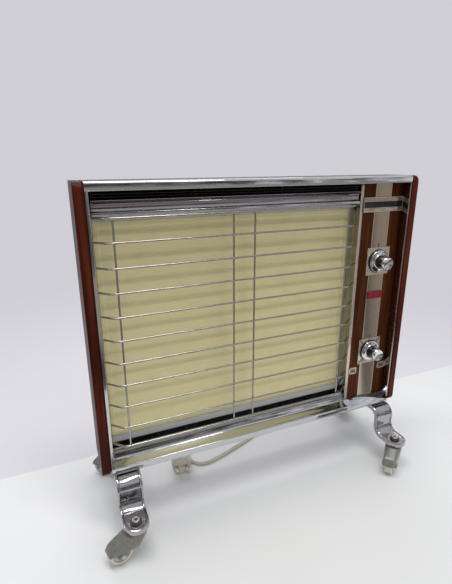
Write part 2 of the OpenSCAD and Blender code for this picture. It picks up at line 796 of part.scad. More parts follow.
module internal_wiring() {
    back = switch_y + switch_d + 6;
    top = sheet_t + 19;
    y = block_y + 8;
    color([0.75, 0.3, 0.25]) in_body() {
        // From the terminals to the thermostat
        tube(
            [[block_x + 44, y, top], [block_x + 44, y + 1, top + 9], [block_x + 46, y + 5, top + 20],
                [control_x + 9, y + 5, 70], [control_x + 9, back + 5, thermostat_z - 22],
                [control_x + 9, back, thermostat_z - 11.5]],
            1.2, 6, [0, 0, 1], [0, -1, 0], [1, 0, 0]
        );
        // From the thermostat up to the selector
        for (s = [-1, 1])
            tube(
                [[control_x + s * 9, back, thermostat_z + 11.5],
                    [control_x + s * 9, back + 5, thermostat_z + 22],
                    [control_x + s * 9, back + 5, lens_z], [control_x + s * 9, back + 5, selector_z - 20],
                    [control_x + s * 9, back, selector_z - 10]],
                1.2, 6, [0, 1, 0], [0, -1, 0], [1, 0, 0]
            );
        // From the heating rods down to the terminals
        for (k = [0 : 3])
            tube(
                [[panel_right + 12, rods_y, rod_heights()[k]], [panel_right + 14, rods_y, rod_heights()[k]],
                    [panel_right + 15 + 4 * k, rods_y, rod_heights()[k] - 3],
                    [panel_right + 16 + 4 * k, rods_y, rod_heights()[k] - 12],
                    [panel_right + 16 + 4 * k, rods_y, 70], [block_x + 4 + k * 10, y, top + 14],
                    [block_x + 4 + k * 10, y, top]],
                1.2, 6, [1, 0, 0], [0, 0, -1], [0, 1, 0]
            );
    }
}

// Knobs, turned about the line from the switch to the front
module on_spindle(z) {
    in_body() translate([control_x, plate_y - gap, z]) rotate([90, 0, 0]) children();
}
module grip() {
    hub = 16;
    face = knob_l - gap - cap_h;
    difference() {
        rotate_extrude() difference() {
            union() {
                square([hub / 2, face]);
                translate([0, skirt_h]) square([grip_d / 2, face - skirt_h]);
            }
            translate([grip_d / 2 + 18.8, (skirt_h + face) / 2]) circle(20);
        }
        translate([0, 0, -1]) cylinder(d = spindle_d + 2 * fit, h = face - 3);
    }
}
module trim() {
    face = knob_l - gap - cap_h;
    rotate_extrude() polygon([
        [8 + fit, 0], [skirt_d / 2 - 1, 0], [skirt_d / 2, 0.8], [skirt_d / 2, 2.2],
        [grip_d / 2 + 3.5, skirt_h - 0.6], [grip_d / 2 + 2.5, skirt_h], [8 + fit, skirt_h]
    ]);
    translate([0, 0, face]) rotate_extrude() polygon([
        [0, 0], [cap_d / 2 - 1, 0], [cap_d / 2, 1], [cap_d / 2, cap_h - 2.2], [cap_d / 2 - 1.8, cap_h - 0.6],
        [cap_d / 2 - 4, cap_h], [0, cap_h]
    ]);
}
module spindle() {
    face = knob_l - gap - cap_h;
    back = switch_y + switch_d - 6.5 - plate_y + gap;
    translate([0, 0, -back]) cylinder(d = spindle_d, h = back + face - 4.5);
}
module selector_grip() {
    color([0.05, 0.05, 0.06]) on_spindle(selector_z) grip();
}
module selector_trim() {
    color([0.8, 0.8, 0.82]) on_spindle(selector_z) trim();
}
module selector_spindle() {
    color([0.6, 0.6, 0.6]) on_spindle(selector_z) spindle();
}
module thermostat_grip() {
    color([0.05, 0.05, 0.06]) on_spindle(thermostat_z) grip();
}
module thermostat_trim() {
    color([0.8, 0.8, 0.82]) on_spindle(thermostat_z) trim();
}
module thermostat_spindle() {
    color([0.6, 0.6, 0.6]) on_spindle(thermostat_z) spindle();
}

// Legs: a flanged strip bent forward, down and forward again to a round pad
tab_screw_y = tab_l - 10;
module leg_side(t) {
    y = upper_r - leg_bulge;
    translate([y, -t]) square([tab_l - y, t]);
    translate([y, -upper_r]) quarter(upper_r - t, upper_r, 90);
    translate([-leg_bulge, lower_r - leg_drop]) square([t, leg_drop - upper_r - lower_r]);
    translate([-leg_bulge - lower_r, lower_r - leg_drop]) quarter(lower_r, lower_r + t, 270);
    translate([-leg_reach, -leg_drop - t]) square([leg_reach - leg_bulge - lower_r, t]);
}
module leg() {
    module half_round() {
        translate([-leg_w, -2 * leg_w]) square(2 * leg_w);
    }
    difference() {
        union() {
            along_x(-leg_w / 2, leg_w / 2) leg_side(leg_t);
            along_x(-leg_w / 2, -leg_w / 2 + leg_t) leg_side(flange_h);
            along_x(leg_w / 2 - leg_t, leg_w / 2) leg_side(flange_h);
            translate([0, -leg_reach, -leg_drop - leg_t]) linear_extrude(leg_t) intersection() {
                circle(d = leg_w);
                half_round();
            }
            translate([0, -leg_reach, -leg_drop - flange_h]) linear_extrude(flange_h) intersection() {
                difference() {
                    circle(d = leg_w);
                    circle(d = leg_w - 2 * leg_t);
                }
                half_round();
            }
        }
        translate([0, -leg_reach, -leg_drop - leg_t - 1]) cylinder(d = pivot_d + 2 * fit, h = leg_t + 2);
        for (s = [-1, 1]) translate([s * 9, tab_screw_y, -leg_t - 1]) cylinder(d = 4.2, h = leg_t + 2);
    }
}

// Places a child at one corner, with the leg's forward direction turned outwards
module at_corner(side, row) {
    in_body() translate([side < 0 ? leg_x : frame_w - leg_x, row < 0 ? 0 : body_d, 0])
        rotate(row < 0 ? 0 : 180) children();
}
module chrome_leg(side, row) {
    color([0.78, 0.78, 0.8]) at_corner(side, row) leg();
}
module leg_front_left() chrome_leg(-1, -1);
module leg_front_right() chrome_leg(1, -1);
module leg_rear_left() chrome_leg(-1, 1);
module leg_rear_right() chrome_leg(1, 1);

// Screws and caster pivots
module cross_head(d, h) {
    difference() {
        union() {
            cylinder(d = d, h = h - 1);
            translate([0, 0, h - 1]) cylinder(d1 = d, d2 = d - 1.6, h = 1);
        }
        for (a = [0, 90]) rotate(a) translate([-d * 0.28, -d * 0.07, h - 1.4]) cube([d * 0.56, d * 0.14, 2]);
    }
}
module pivot() {
    translate([0, 0, caster_h]) cross_head(13, 3.5);
    translate([0, 0, seat_z - gap - 2]) cylinder(d = pivot_d, h = caster_h - seat_z + gap + 2.5);
    translate([0, 0, seat_z - gap - 2]) cylinder(d = pivot_d + 4, h = 2);
}
module fasteners() {
    color([0.7, 0.7, 0.72]) {
        for (c = [[-1, -1], [1, -1], [-1, 1], [1, 1]]) {
            at_corner(c[0], c[1]) translate([0, -leg_reach, -underside]) pivot();
            for (s = [-1, 1]) at_corner(c[0], c[1]) translate([s * 9, tab_screw_y, -leg_t]) {
                mirror([0, 0, 1]) cross_head(8, 2.6);
                translate([0, 0, -0.5]) cylinder(d = 4, h = leg_t + sheet_t + 3);
            }
        }
        in_body() for (x = cover_screw_xs) translate([x, body_d, 7]) rotate([-90, 0, 0]) {
            cross_head(8, 2.6);
            translate([0, 0, -8]) cylinder(d = 4, h = 8.5);
        }
    }
}

// Casters, with the pivot over the origin and the wheel trailing along +X
module fork() {
    difference() {
        union() {
            difference() {
                hull() {
                    translate([0, 0, seat_z]) cylinder(d = hub_d, h = 10, $fn = 32);
                    translate([trail, 0, wheel_r]) rotate([90, 0, 0]) {
                        cylinder(r = hood_r, h = hood_w - 2 * hood_t, center = true, $fn = 32);
                        cylinder(r = hood_r - hood_t, h = hood_w, center = true, $fn = 32);
                    }
                }
                translate([-60, -60, -20]) cube([160, 120, 26 + wheel_r]);
            }
            hull() for (c = [[0, 7], [9, 13]]) translate([trail, 0, wheel_r + c[0]]) rotate([90, 0, 0])
                cylinder(r = c[1], h = hood_w, center = true);
            translate([0, 0, seat_z + 1]) cylinder(d = hub_d, h = head_top - seat_z - 1);
            translate([trail, 0, wheel_r]) rotate([90, 0, 0]) cylinder(r = 6.5, h = boss_w, center = true);
        }
        translate([trail, 0, wheel_r]) rotate([90, 0, 0])
            cylinder(r = wheel_r + 1, h = wheel_w + 2, center = true);
        translate([trail - wheel_r - 1, -wheel_w / 2 - 1, -1])
            cube([2 * wheel_r + 2, wheel_w + 2, wheel_r + 1]);
        translate([0, 0, -1]) cylinder(d = pivot_d + 7, h = seat_z + 1);
        translate([0, 0, seat_z - 1]) cylinder(d = pivot_d + 2 * fit, h = head_top);
        translate([trail, 0, wheel_r]) rotate([90, 0, 0])
            cylinder(d = axle_d + 2 * fit, h = boss_w + 2, center = true);
    }
}
module wheel() {
    w = wheel_w / 2;
    translate([trail, 0, wheel_r]) rotate([90, 0, 0]) rotate_extrude() difference() {
        union() {
            translate([wheel_r - 6, -w]) square([3, 2 * w]);
            translate([wheel_r - 4, 3 - w]) square([4, 2 * w - 6]);
            for (s = [-1, 1]) translate([wheel_r - 3, s * (w - 3)]) circle(3);
            translate([axle_d / 2 + 1, -w / 2]) square([wheel_r - axle_d / 2 - 6, w]);
            translate([axle_d / 2 + fit, -w - 0.6]) square([3, 2 * w + 1.2]);
        }
    }
}
module axle() {
    translate([trail, 0, wheel_r]) rotate([90, 0, 0]) {
        cylinder(d = axle_d, h = boss_w + 1, center = true);
        for (s = [-1, 1]) translate([0, 0, s * (boss_w / 2 + 0.75)])
            cylinder(d = axle_d + 4, h = 1.5, center = true);
    }
}

// Stands a caster under one corner, turned to its direction
module under_corner(side, row, turn) {
    in_body() translate([
        side < 0 ? leg_x : frame_w - leg_x,
        row < 0 ? -leg_reach : body_d + leg_reach,
        -underside
    ]) rotate(turn) children();
}
turns = [
    [-1, -1, front_left_turn], [1, -1, front_right_turn],
    [-1, 1, rear_left_turn], [1, 1, rear_right_turn]
];
module caster_piece(k, shade) {
    color(shade) under_corner(turns[k][0], turns[k][1], turns[k][2]) children();
}
module fork_front_left() caster_piece(0, [0.45, 0.45, 0.43]) fork();
module fork_front_right() caster_piece(1, [0.45, 0.45, 0.43]) fork();
module fork_rear_left() caster_piece(2, [0.45, 0.45, 0.43]) fork();
module fork_rear_right() caster_piece(3, [0.45, 0.45, 0.43]) fork();
module wheel_front_left() caster_piece(0, [0.82, 0.8, 0.74]) wheel();
module wheel_front_right() caster_piece(1, [0.82, 0.8, 0.74]) wheel();
module wheel_rear_left() caster_piece(2, [0.82, 0.8, 0.74]) wheel();
module wheel_rear_right() caster_piece(3, [0.82, 0.8, 0.74]) wheel();
module axle_front_left() caster_piece(0, [0.6, 0.6, 0.6]) axle();
module axle_front_right() caster_piece(1, [0.6, 0.6, 0.6]) axle();
module axle_rear_left() caster_piece(2, [0.6, 0.6, 0.6]) axle();
module axle_rear_right() caster_piece(3, [0.6, 0.6, 0.6]) axle();

// Mains lead: gland, free lead, coil, plug
module cord_gland() {
    color([0.86, 0.84, 0.78]) translate([gland_x, body_d / 2, underside + gland_z]) rotate([-90, 0, 0])
        rotate_extrude() polygon([
            [0, -10], [7, -10], [7, 0], [10.5, 0], [10.5, 3], [7.5, 3.6], [cord_d / 2 + 1.2, 3 + gland_l],
            [0, 3 + gland_l]
        ]);
}

module cord_run() {
    r = cord_d / 2;
    color([0.86, 0.84, 0.78]) {
        tube(spread(RUN_A), r, 8, [0, 1, 0], [1, 0, 0]);
        tube(spread(RUN_B), r, 8, [-1, 0, 0], [-cos(plug_turn), -sin(plug_turn), 0]);
    }
}

// The coil winds in on the floor, climbs a layer in the half turn where it reverses, and winds out again
function coil_point(t) =
    let (
        mid = coil_turns / 2,
        r = coil_r - layer * (mid - abs(t - mid)),
        rise = min(max((t - mid + 0.25) / 0.5, 0), 1),
        a = 360 * t - 90
    ) [coil_x + r * cos(a), coil_y + r * sin(a), cord_d / 2 + layer * rise];
COIL = concat(
    [[coil_x - cord_d, coil_y - coil_r, cord_d / 2]],
    [for (k = [0 : 24 * coil_turns]) coil_point(k / 24)],
    [[coil_x - cord_d, coil_y + coil_r, cord_d / 2 + layer]]
);
coil_gap = min([
    for (i = [0 : len(COIL) - 1], j = [i + 12 : 1 : len(COIL) - 1]) norm(COIL[i] - COIL[j])
]) - cord_d;
module cord_coil() {
    echo(coil_gap = coil_gap);
    color([0.86, 0.84, 0.78]) tube(COIL, cord_d / 2, 6, [1, 0, 0], [-1, 0, 0]);
}

module at_plug() {
    translate([plug_end[0], plug_end[1], plug_d / 2]) rotate(plug_turn) translate([-plug_l - sleeve_l, 0, 0])
        children();
}
module cord_plug() {
    r = plug_d / 2;
    color([0.86, 0.84, 0.78]) at_plug() difference() {
        rotate([0, 90, 0]) rotate_extrude() polygon([
            [0, 0], [r - 1, 0], [r, 1], [r, plug_l * 0.5], [r - 3, plug_l * 0.62], [r - 9, plug_l * 0.9],
            [8.5, plug_l],
            [cord_d / 2 + 1.2, plug_l + sleeve_l], [0, plug_l + sleeve_l]
        ]);
        for (s = [-1, 1]) translate([-1, -3, s * (r - 1) - 1.5]) cube([plug_l * 0.45, 6, 3]);
        for (s = [-1, 1]) translate([-1, s * pin_gap / 2, 0]) rotate([0, 90, 0])
            cylinder(d = pin_d - 0.8 + 2 * fit, h = 9);
    }
}
module plug_pins() {
    color([0.75, 0.68, 0.45]) at_plug() for (s = [-1, 1])
        translate([-pin_l, s * pin_gap / 2, 0]) rotate([0, 90, 0]) {
            translate([0, 0, 1]) cylinder(d = pin_d, h = pin_l - 1 - gap);
            cylinder(d = pin_d - 0.8, h = pin_l + 7.9);
            cylinder(d1 = pin_d - 1.6, d2 = pin_d, h = 1);
        }
}

side_panel_left();
side_panel_right();
top_rail();
bottom_rail();
left_upright();
right_upright();
divider_wall();
reflector_strip();
outlet_louvres();
bezel_bar();
wire_guard();
radiant_panel();
panel_strips();
heating_element();
element_brackets();
insulation_board();
rear_cover();
base_pan();
control_fascia();
fascia_stripe();
name_band();
band_inlay();
label_plates();
dial_plates();
indicator_lens();
indicator_lamp();
selector_switch();
thermostat();
switch_bracket();
thermal_cutout();
terminal_block();
internal_wiring();
selector_grip();
selector_trim();
selector_spindle();
thermostat_grip();
thermostat_trim();
thermostat_spindle();
leg_front_left();
leg_front_right();
leg_rear_left();
leg_rear_right();
fasteners();
fork_front_left();
fork_front_right();
fork_rear_left();
fork_rear_right();
wheel_front_left();
wheel_front_right();
wheel_rear_left();
wheel_rear_right();
axle_front_left();
axle_front_right();
axle_rear_left();
axle_rear_right();
cord_gland();
cord_run();
cord_coil();
cord_plug();
plug_pins();
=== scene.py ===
# %% [markdown]
# # An electric radiator on casters
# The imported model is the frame: it gives every solid at its true place, in metres, with the floor at Z = 0,
# the front towards -Y and the middle of the casing above the origin. This lesson adds the camera, the mains
# lead, the smooth and bevelled pieces that the eye sees, their finishes and the light.

import json
from math import cos, degrees, pi, radians, sin

import bpy
from mathutils import Matrix, Vector


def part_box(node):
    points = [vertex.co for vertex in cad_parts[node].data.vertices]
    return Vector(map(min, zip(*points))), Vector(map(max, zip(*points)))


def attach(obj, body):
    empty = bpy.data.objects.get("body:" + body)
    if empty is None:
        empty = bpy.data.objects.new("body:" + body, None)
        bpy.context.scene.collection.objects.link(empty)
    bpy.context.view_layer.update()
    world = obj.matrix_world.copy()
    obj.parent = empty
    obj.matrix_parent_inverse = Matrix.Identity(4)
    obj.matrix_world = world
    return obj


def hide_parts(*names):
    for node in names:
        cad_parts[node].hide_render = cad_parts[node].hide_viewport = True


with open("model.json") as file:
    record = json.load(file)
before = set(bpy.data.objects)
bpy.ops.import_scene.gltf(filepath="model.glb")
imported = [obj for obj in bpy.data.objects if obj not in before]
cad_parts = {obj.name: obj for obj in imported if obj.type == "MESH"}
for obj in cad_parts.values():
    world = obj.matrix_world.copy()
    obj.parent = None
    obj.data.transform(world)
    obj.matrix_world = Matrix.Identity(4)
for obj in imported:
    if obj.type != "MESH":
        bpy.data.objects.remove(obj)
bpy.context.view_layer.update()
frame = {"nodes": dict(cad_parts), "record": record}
NODES = frame["nodes"]
print("solids in the frame:", len(NODES))

# %% [markdown]
# Millimetres are handy for a maker, so every size below is written in them and turned into metres once.
# The casing's lower left front corner is the place from which the casing's own pieces are measured:
# x to the right, y to the back, z up. All of it comes from the boxes of three solids.

# %% Casing sizes
MM = 0.001
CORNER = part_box("bottom_rail")[0]
WIDTH = (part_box("bottom_rail")[1].x - CORNER.x) / MM
HEIGHT = (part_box("top_rail")[1].z - CORNER.z) / MM
DEPTH = (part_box("rear_cover")[1].y - CORNER.y) / MM
LEFT, RIGHT = Vector((-1, 0, 0)), Vector((1, 0, 0))
FRONT, BACK = Vector((0, -1, 0)), Vector((0, 1, 0))
DOWN, UP = Vector((0, 0, -1)), Vector((0, 0, 1))


def at(x, y, z):
    """A place in the casing, in millimetres from its lower left front corner."""
    return CORNER + Vector((x, y, z)) * MM


def in_casing(place):
    """A world place in casing millimetres."""
    return (place - CORNER) / MM


def casing_box(node_name):
    """A solid's lowest and highest corner, in casing millimetres."""
    return [in_casing(corner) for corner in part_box(node_name)]


print(f"casing {WIDTH:.0f} x {DEPTH:.0f} x {HEIGHT:.1f} mm, {CORNER.z / MM:.1f} mm above the floor")

# %% [markdown]
# ## Camera
# The photograph was taken by hand from the left, a little above the casing. The place, the aim and the slight
# tilt were worked out from the straight edges of the frame. The sensor is fitted to the picture's long side,
# so the width of the frame follows by itself.

# %% Camera
CAMERA_PLACE = Vector((-353.4, -668.0, 621.8)) * MM
CAMERA_AIM = Vector((-80.0, -23.0, 410.6)) * MM
CAMERA_ROLL = radians(-0.33)
CAMERA_LENS = 25.96
camera_data = bpy.data.cameras.new("camera")
camera_data.sensor_fit = "VERTICAL"
camera_data.sensor_height = 36
camera_data.lens = CAMERA_LENS
camera_data.clip_start = 0.02
camera = bpy.data.objects.new("camera", camera_data)
bpy.context.scene.collection.objects.link(camera)
aim = (CAMERA_AIM - CAMERA_PLACE).to_track_quat("-Z", "Y").to_matrix().to_4x4()
camera.matrix_world = Matrix.Translation(CAMERA_PLACE) @ aim @ Matrix.Rotation(CAMERA_ROLL, 4, "Z")
bpy.context.scene.camera = camera
print("camera", [round(v, 3) for v in CAMERA_PLACE])

# %% [markdown]
# ## Nodes for the finishes
# A finish is a small network of shader nodes. Short helpers keep the networks readable: one starts a material,
# one adds a node with its values, and the others are the few kinds of node that come up again and again.
# Patterns read the Object coordinates, which are metres in the row frame here, so a scale of 1000 means a
# pattern as fine as a millimetre.

# %% Node helpers
def new_material(name, color, roughness, metallic=0.0, **extra):
    """A material with one Principled shader whose steady values sit on its own sockets."""
    material = bpy.data.materials.new(name)
    material.use_nodes = True
    shader = material.node_tree.nodes["Principled BSDF"]
    steady = {"Base Color": (*color, 1), "Roughness": roughness, "Metallic": metallic, **extra}
    for socket, value in steady.items():
        shader.inputs[socket.replace("_", " ")].default_value = value
    return material, material.node_tree, shader


def node(tree, kind, inputs, **settings):
    """A shader node of that kind; inputs are values or other sockets."""
    made = tree.nodes.new("ShaderNode" + kind)
    for key, value in settings.items():
        setattr(made, key, value)
    for key, value in inputs.items():
        if isinstance(value, bpy.types.NodeSocket):
            tree.links.new(value, made.inputs[key])
        else:
            made.inputs[key].default_value = value
    return made


def object_place(tree, scale=None):
    """Object coordinates, stretched where a pattern has a direction."""
    place = node(tree, "TexCoord", {}).outputs["Object"]
    return node(tree, "Mapping", {"Vector": place, "Scale": scale}).outputs[0] if scale else place


def noise(tree, place, scale=1.0, detail=2.0, **extra):
    """A cloudy pattern between 0 and 1."""
    return node(tree, "TexNoise", {"Vector": place, "Scale": scale, "Detail": detail, **extra}).outputs[0]


def ramp(tree, factor, stops):
    """Turns a factor into a colour through stops of (position, colour or grey)."""
    made = node(tree, "ValToRGB", {"Fac": factor})
    marks = made.color_ramp.elements
    while len(marks) < len(stops):
        marks.new(0.5)
    for mark, (position, color) in zip(marks, stops):
        mark.position = position
        mark.color = (color, color, color, 1) if isinstance(color, float) else (*color, 1)
    return made.outputs["Color"]


def to_range(tree, value, low, high, start=0.0, end=1.0):
    """Maps a value from start..end to low..high."""
    names = ("From Min", "From Max", "To Min", "To Max")
    return node(tree, "MapRange", {"Value": value, **dict(zip(names, (start, end, low, high)))}).outputs[0]


def combined(tree, operation, first, second):
    """Two values put together by one operation."""
    return node(tree, "Math", {0: first, 1: second}, operation=operation).outputs[0]


def mixed(tree, share, first, second):
    """Goes from the first colour to the second by a share."""
    first, second = [c if isinstance(c, bpy.types.NodeSocket) else (*c, 1) for c in (first, second)]
    return node(tree, "Mix", {0: share, 6: first, 7: second}, data_type="RGBA").outputs[2]


def feed(tree, shader, color, roughness):
    """Joins a pattern of colour and one of roughness to the shader."""
    tree.links.new(color, shader.inputs["Base Color"])
    tree.links.new(roughness, shader.inputs["Roughness"])


def add_bump(tree, shader, height, distance, strength):
    """A small relief, made by a pattern of heights."""
    bump = node(tree, "Bump", {"Height": height, "Distance": distance, "Strength": strength})
    tree.links.new(bump.outputs[0], shader.inputs["Normal"])


# %% [markdown]
# Two effects appear on many finishes: smears, where hands and cloths have left the gloss uneven, and grit,
# which is the fine orange peel of paint and plating. Each is a node group with named inputs, built once. A
# group gives out only values, and each material decides what they do.

# %% Shared effects
def new_group(name, inputs, outputs):
    """A node group with number inputs, each with its usual value, and number outputs."""
    group = bpy.data.node_groups.new(name, "ShaderNodeTree")
    for label, usual in inputs.items():
        socket = group.interface.new_socket(label, in_out="INPUT", socket_type="NodeSocketFloat")
        socket.default_value = usual
    for label in outputs:
        group.interface.new_socket(label, in_out="OUTPUT", socket_type="NodeSocketFloat")
    return group, group.nodes.new("NodeGroupInput").outputs, group.nodes.new("NodeGroupOutput").inputs


smears, given, result = new_group("smears", {"Scale": 12.0, "Low": 0.1, "High": 0.2}, ["Roughness"])
place = object_place(smears)
broad, fine = noise(smears, place, given["Scale"], 4.0), noise(smears, place, 160.0, 3.0)
both = combined(smears, "MULTIPLY", broad, fine)
smears.links.new(to_range(smears, both, given["Low"], given["High"], 0.12, 0.42), result["Roughness"])

grit, given, result = new_group("grit", {"Scale": 900.0, "Spots": 60.0}, ["Height", "Dust"])
place = object_place(grit)
grit.links.new(noise(grit, place, given["Scale"]), result["Height"])
cloud = noise(grit, place, given["Spots"], 8.0)
grit.links.new(to_range(grit, cloud, 0.0, 1.0, 0.52, 0.72), result["Dust"])


def smeared(tree, low, high, scale=12.0):
    """A roughness from low to high, from the smears group."""
    return node(tree, "Group", {"Scale": scale, "Low": low, "High": high}, node_tree=smears).outputs[0]


def add_grit(tree, shader, scale, depth, spots):
    """A fine bump from the grit group; gives back the dust mask."""
    group = node(tree, "Group", {"Scale": scale, "Spots": spots}, node_tree=grit)
    add_bump(tree, shader, group.outputs["Height"], depth, 0.6)
    return group.outputs["Dust"]


# %% [markdown]
# ## Chrome
# Chrome is a mirror, and what tells it from a mirror is the thin plating over pressed steel: the sheet is not
# quite flat, so reflections wave a little, and years of use leave small dull pits. The same recipe serves the
# frame, the wires, the legs and the knobs, with more pits on the legs. A darker mixing of it is painted shade
# on the inner walls of the frame, and a nearly black one is painted shade in the recesses round the screws.

# %% Chrome finishes
PIT_BROWN = (0.22, 0.18, 0.15)


def chrome(name, color, low, high, pits, wave=0.35):
    """Bright plating: pits is how much of the surface has gone dull."""
    material, tree, shader = new_material(name, color, low, 1.0)
    place = object_place(tree)
    rust = noise(tree, place, 220.0, 6.0, Roughness=0.7)
    spots = to_range(tree, rust, 0.0, 1.0, 0.62 - pits * 0.1, 0.74 - pits * 0.1)
    dull = combined(tree, "MULTIPLY", spots, 0.35)
    rough = combined(tree, "ADD", dull, smeared(tree, low, high))
    feed(tree, shader, mixed(tree, spots, color, PIT_BROWN), rough)
    add_bump(tree, shader, noise(tree, place, 22.0), 0.0008, wave)
    return material


FINISH = {
    "chrome": chrome("frame_chrome", (0.62, 0.63, 0.64), 0.05, 0.15, 0.2),
    "guard_chrome": chrome("wire_chrome", (0.45, 0.43, 0.41), 0.16, 0.26, 0.1, 0.02),
    "leg_chrome": chrome("leg_chrome", (0.45, 0.44, 0.455), 0.08, 0.2, 0.5, 0.15),
    "knob_chrome": chrome("knob_chrome", (0.78, 0.78, 0.78), 0.05, 0.14, 0.1),
    "screw_steel": chrome("screw_steel", (0.70, 0.69, 0.67), 0.16, 0.34, 0.6),
}
# Painted shade: darker copies of the chrome for walls, lips and the outlet strip, and a nearly black steel for
# the screw recesses.
WALL_CHROME_PAINTED_SHADE = chrome("wall_chrome_painted_shade", (0.33, 0.32, 0.30), 0.06, 0.16, 0.3, 0.15)
DARK_CHROME_PAINTED_SHADE = chrome("dark_chrome_painted_shade", (0.40, 0.36, 0.38), 0.1, 0.2, 0.3, 0.15)
RECESS_STEEL_PAINTED_SHADE = chrome("recess_steel_painted_shade", (0.11, 0.105, 0.1), 0.25, 0.45, 0.5)

# %% [markdown]
# ## Painted and brushed metal
# The cream radiant panel is stove enamelled: an even colour with a soft sheen and a trace of orange peel. The
# champagne plates are anodised aluminium, brushed up and down, so a noise squeezed hard along Z gives them
# their fine lines.

# %% Enamel, paint and brushed metal
def enamel(name, color, low, high, peel=0.00006, shade=0.06):
    """Stoved paint with slight patches, peel and dust."""
    material, tree, shader = new_material(name, color, low)
    dust = add_grit(tree, shader, 700.0, peel, 30.0)
    dark = [c * (1 - shade) for c in color]
    feed(tree, shader, mixed(tree, dust, color, dark), smeared(tree, low, high, 9.0))
    return material


def brushed(name, color, low, high, metallic=1.0, contrast=0.25):
    """Metal brushed along Z."""
    material, tree, shader = new_material(name, color, low, metallic)
    lines = noise(tree, object_place(tree, (1600, 1600, 12)), detail=4.0)
    dark = [c * (1 - contrast) for c in color]
    light = [min(1, c * (1 + contrast * 0.6)) for c in color]
    shades = ramp(tree, lines, [(0.3, dark), (0.5, color), (0.7, light)])
    feed(tree, shader, shades, to_range(tree, lines, high, low, 0.3, 0.7))
    add_bump(tree, shader, lines, 0.00005, 0.3)
    return material


FINISH |= {
    "cream_enamel": enamel("cream_enamel", (0.60, 0.545, 0.305), 0.4, 0.56),
    "grey_enamel": enamel("grey_enamel", (0.42, 0.43, 0.43), 0.3, 0.46),
    "louvre_black": enamel("louvre_black", (0.028, 0.026, 0.025), 0.24, 0.38),
    "brown_paint": enamel("brown_paint", (0.05, 0.035, 0.03), 0.42, 0.6, 0.0001, 0.2),
    "champagne_aluminium": brushed("champagne_aluminium", (0.52, 0.445, 0.36), 0.12, 0.2, 0.88, 0.1),
    "zinc_steel": brushed("zinc_steel", (0.5, 0.5, 0.5), 0.3, 0.5),
    "element_steel": brushed("element_steel", (0.16, 0.14, 0.13), 0.4, 0.6),
    "spindle_steel": brushed("spindle_steel", (0.55, 0.55, 0.55), 0.25, 0.4),
    "pin_brass": brushed("pin_brass", (0.62, 0.55, 0.4), 0.2, 0.35),
}
FINISH["axle_steel"] = FINISH["spindle_steel"]
# Partly a polished edge and partly painted highlight: a brighter champagne for borders, edge lines and the
# labels.
CHAMPAGNE_POLISH_AND_PAINTED_HIGHLIGHT = brushed("champagne_polish_and_painted_highlight", (0.66, 0.58, 0.48), 0.2, 0.34, 0.8, 0.12)
CHAMPAGNE_SHADE = brushed("champagne_shade", (0.27, 0.22, 0.18), 0.34, 0.5, 0.7)

# %% [markdown]
# ## Wood laminate
# The sides and the fascia wear a printed wood laminate. Real grain is a stack of long wavy streaks, so the
# pattern is a noise stretched along Z, bent by a second, slower noise, and darkened by thin pores. A thin
# lacquer coat gives the sides their gleam.

# %% Wood finishes
def wood(name, dark, middle, light, gloss, grain, coat):
    """Laminate with upright grain."""
    material, tree, shader = new_material(
        name, middle, gloss, Coat_Weight=coat, Coat_Roughness=0.16, Specular_IOR_Level=0.08
    )
    drift = node(tree, "TexNoise", {"Vector": object_place(tree, (7, 7, 1.5)), "Scale": 1.0})
    bend = node(tree, "VectorMath", {0: drift.outputs["Color"], "Scale": 3.0}, operation="SCALE")
    moved = node(tree, "VectorMath", {0: object_place(tree, grain), 1: bend.outputs[0]}, operation="ADD")
    streaks = noise(tree, moved.outputs[0], detail=6.0)
    shades = ramp(tree, streaks, [(0.34, dark), (0.5, middle), (0.66, light)])
    pores = noise(tree, object_place(tree, (1100, 1100, 40)))
    shades = mixed(tree, to_range(tree, pores, 0.0, 0.55, 0.58, 0.72), shades, dark)
    feed(tree, shader, shades, smeared(tree, gloss, gloss + 0.16, 8.0))
    add_bump(tree, shader, streaks, 0.0001, 0.3)
    return material


SIDE_TONES = (0.020, 0.0035, 0.002), (0.048, 0.0075, 0.003), (0.092, 0.017, 0.007)
FASCIA_TONES = (0.018, 0.005, 0.002), (0.052, 0.014, 0.003), (0.10, 0.029, 0.006)
FINISH["wood"] = wood("side_wood", *SIDE_TONES, 0.36, (130, 130, 3.2), 0.02)
FINISH["fascia_wood"] = wood("fascia_wood", *FASCIA_TONES, 0.42, (420, 420, 5), 0.0)

# %% [markdown]
# ## Plastics, rubber and board
# Moulded plastic is one colour all through, so its life is in its gloss and in a little dust. The lead has a
# soft vinyl skin, yellowed by age. The wheels are clear nylon gone milky, and some light passes into them.

# %% Plastics and board
def moulded(name, color, low, high, dust_share=0.12, dust=(0.5, 0.48, 0.44), peel=0.00003, **extra):
    """Moulded plastic or rubber with a trace of dust."""
    material, tree, shader = new_material(name, color, low, **extra)
    share = combined(tree, "MULTIPLY", add_grit(tree, shader, 1500.0, peel, 90.0), dust_share)
    feed(tree, shader, mixed(tree, share, color, dust), smeared(tree, low, high, 30.0))
    return material


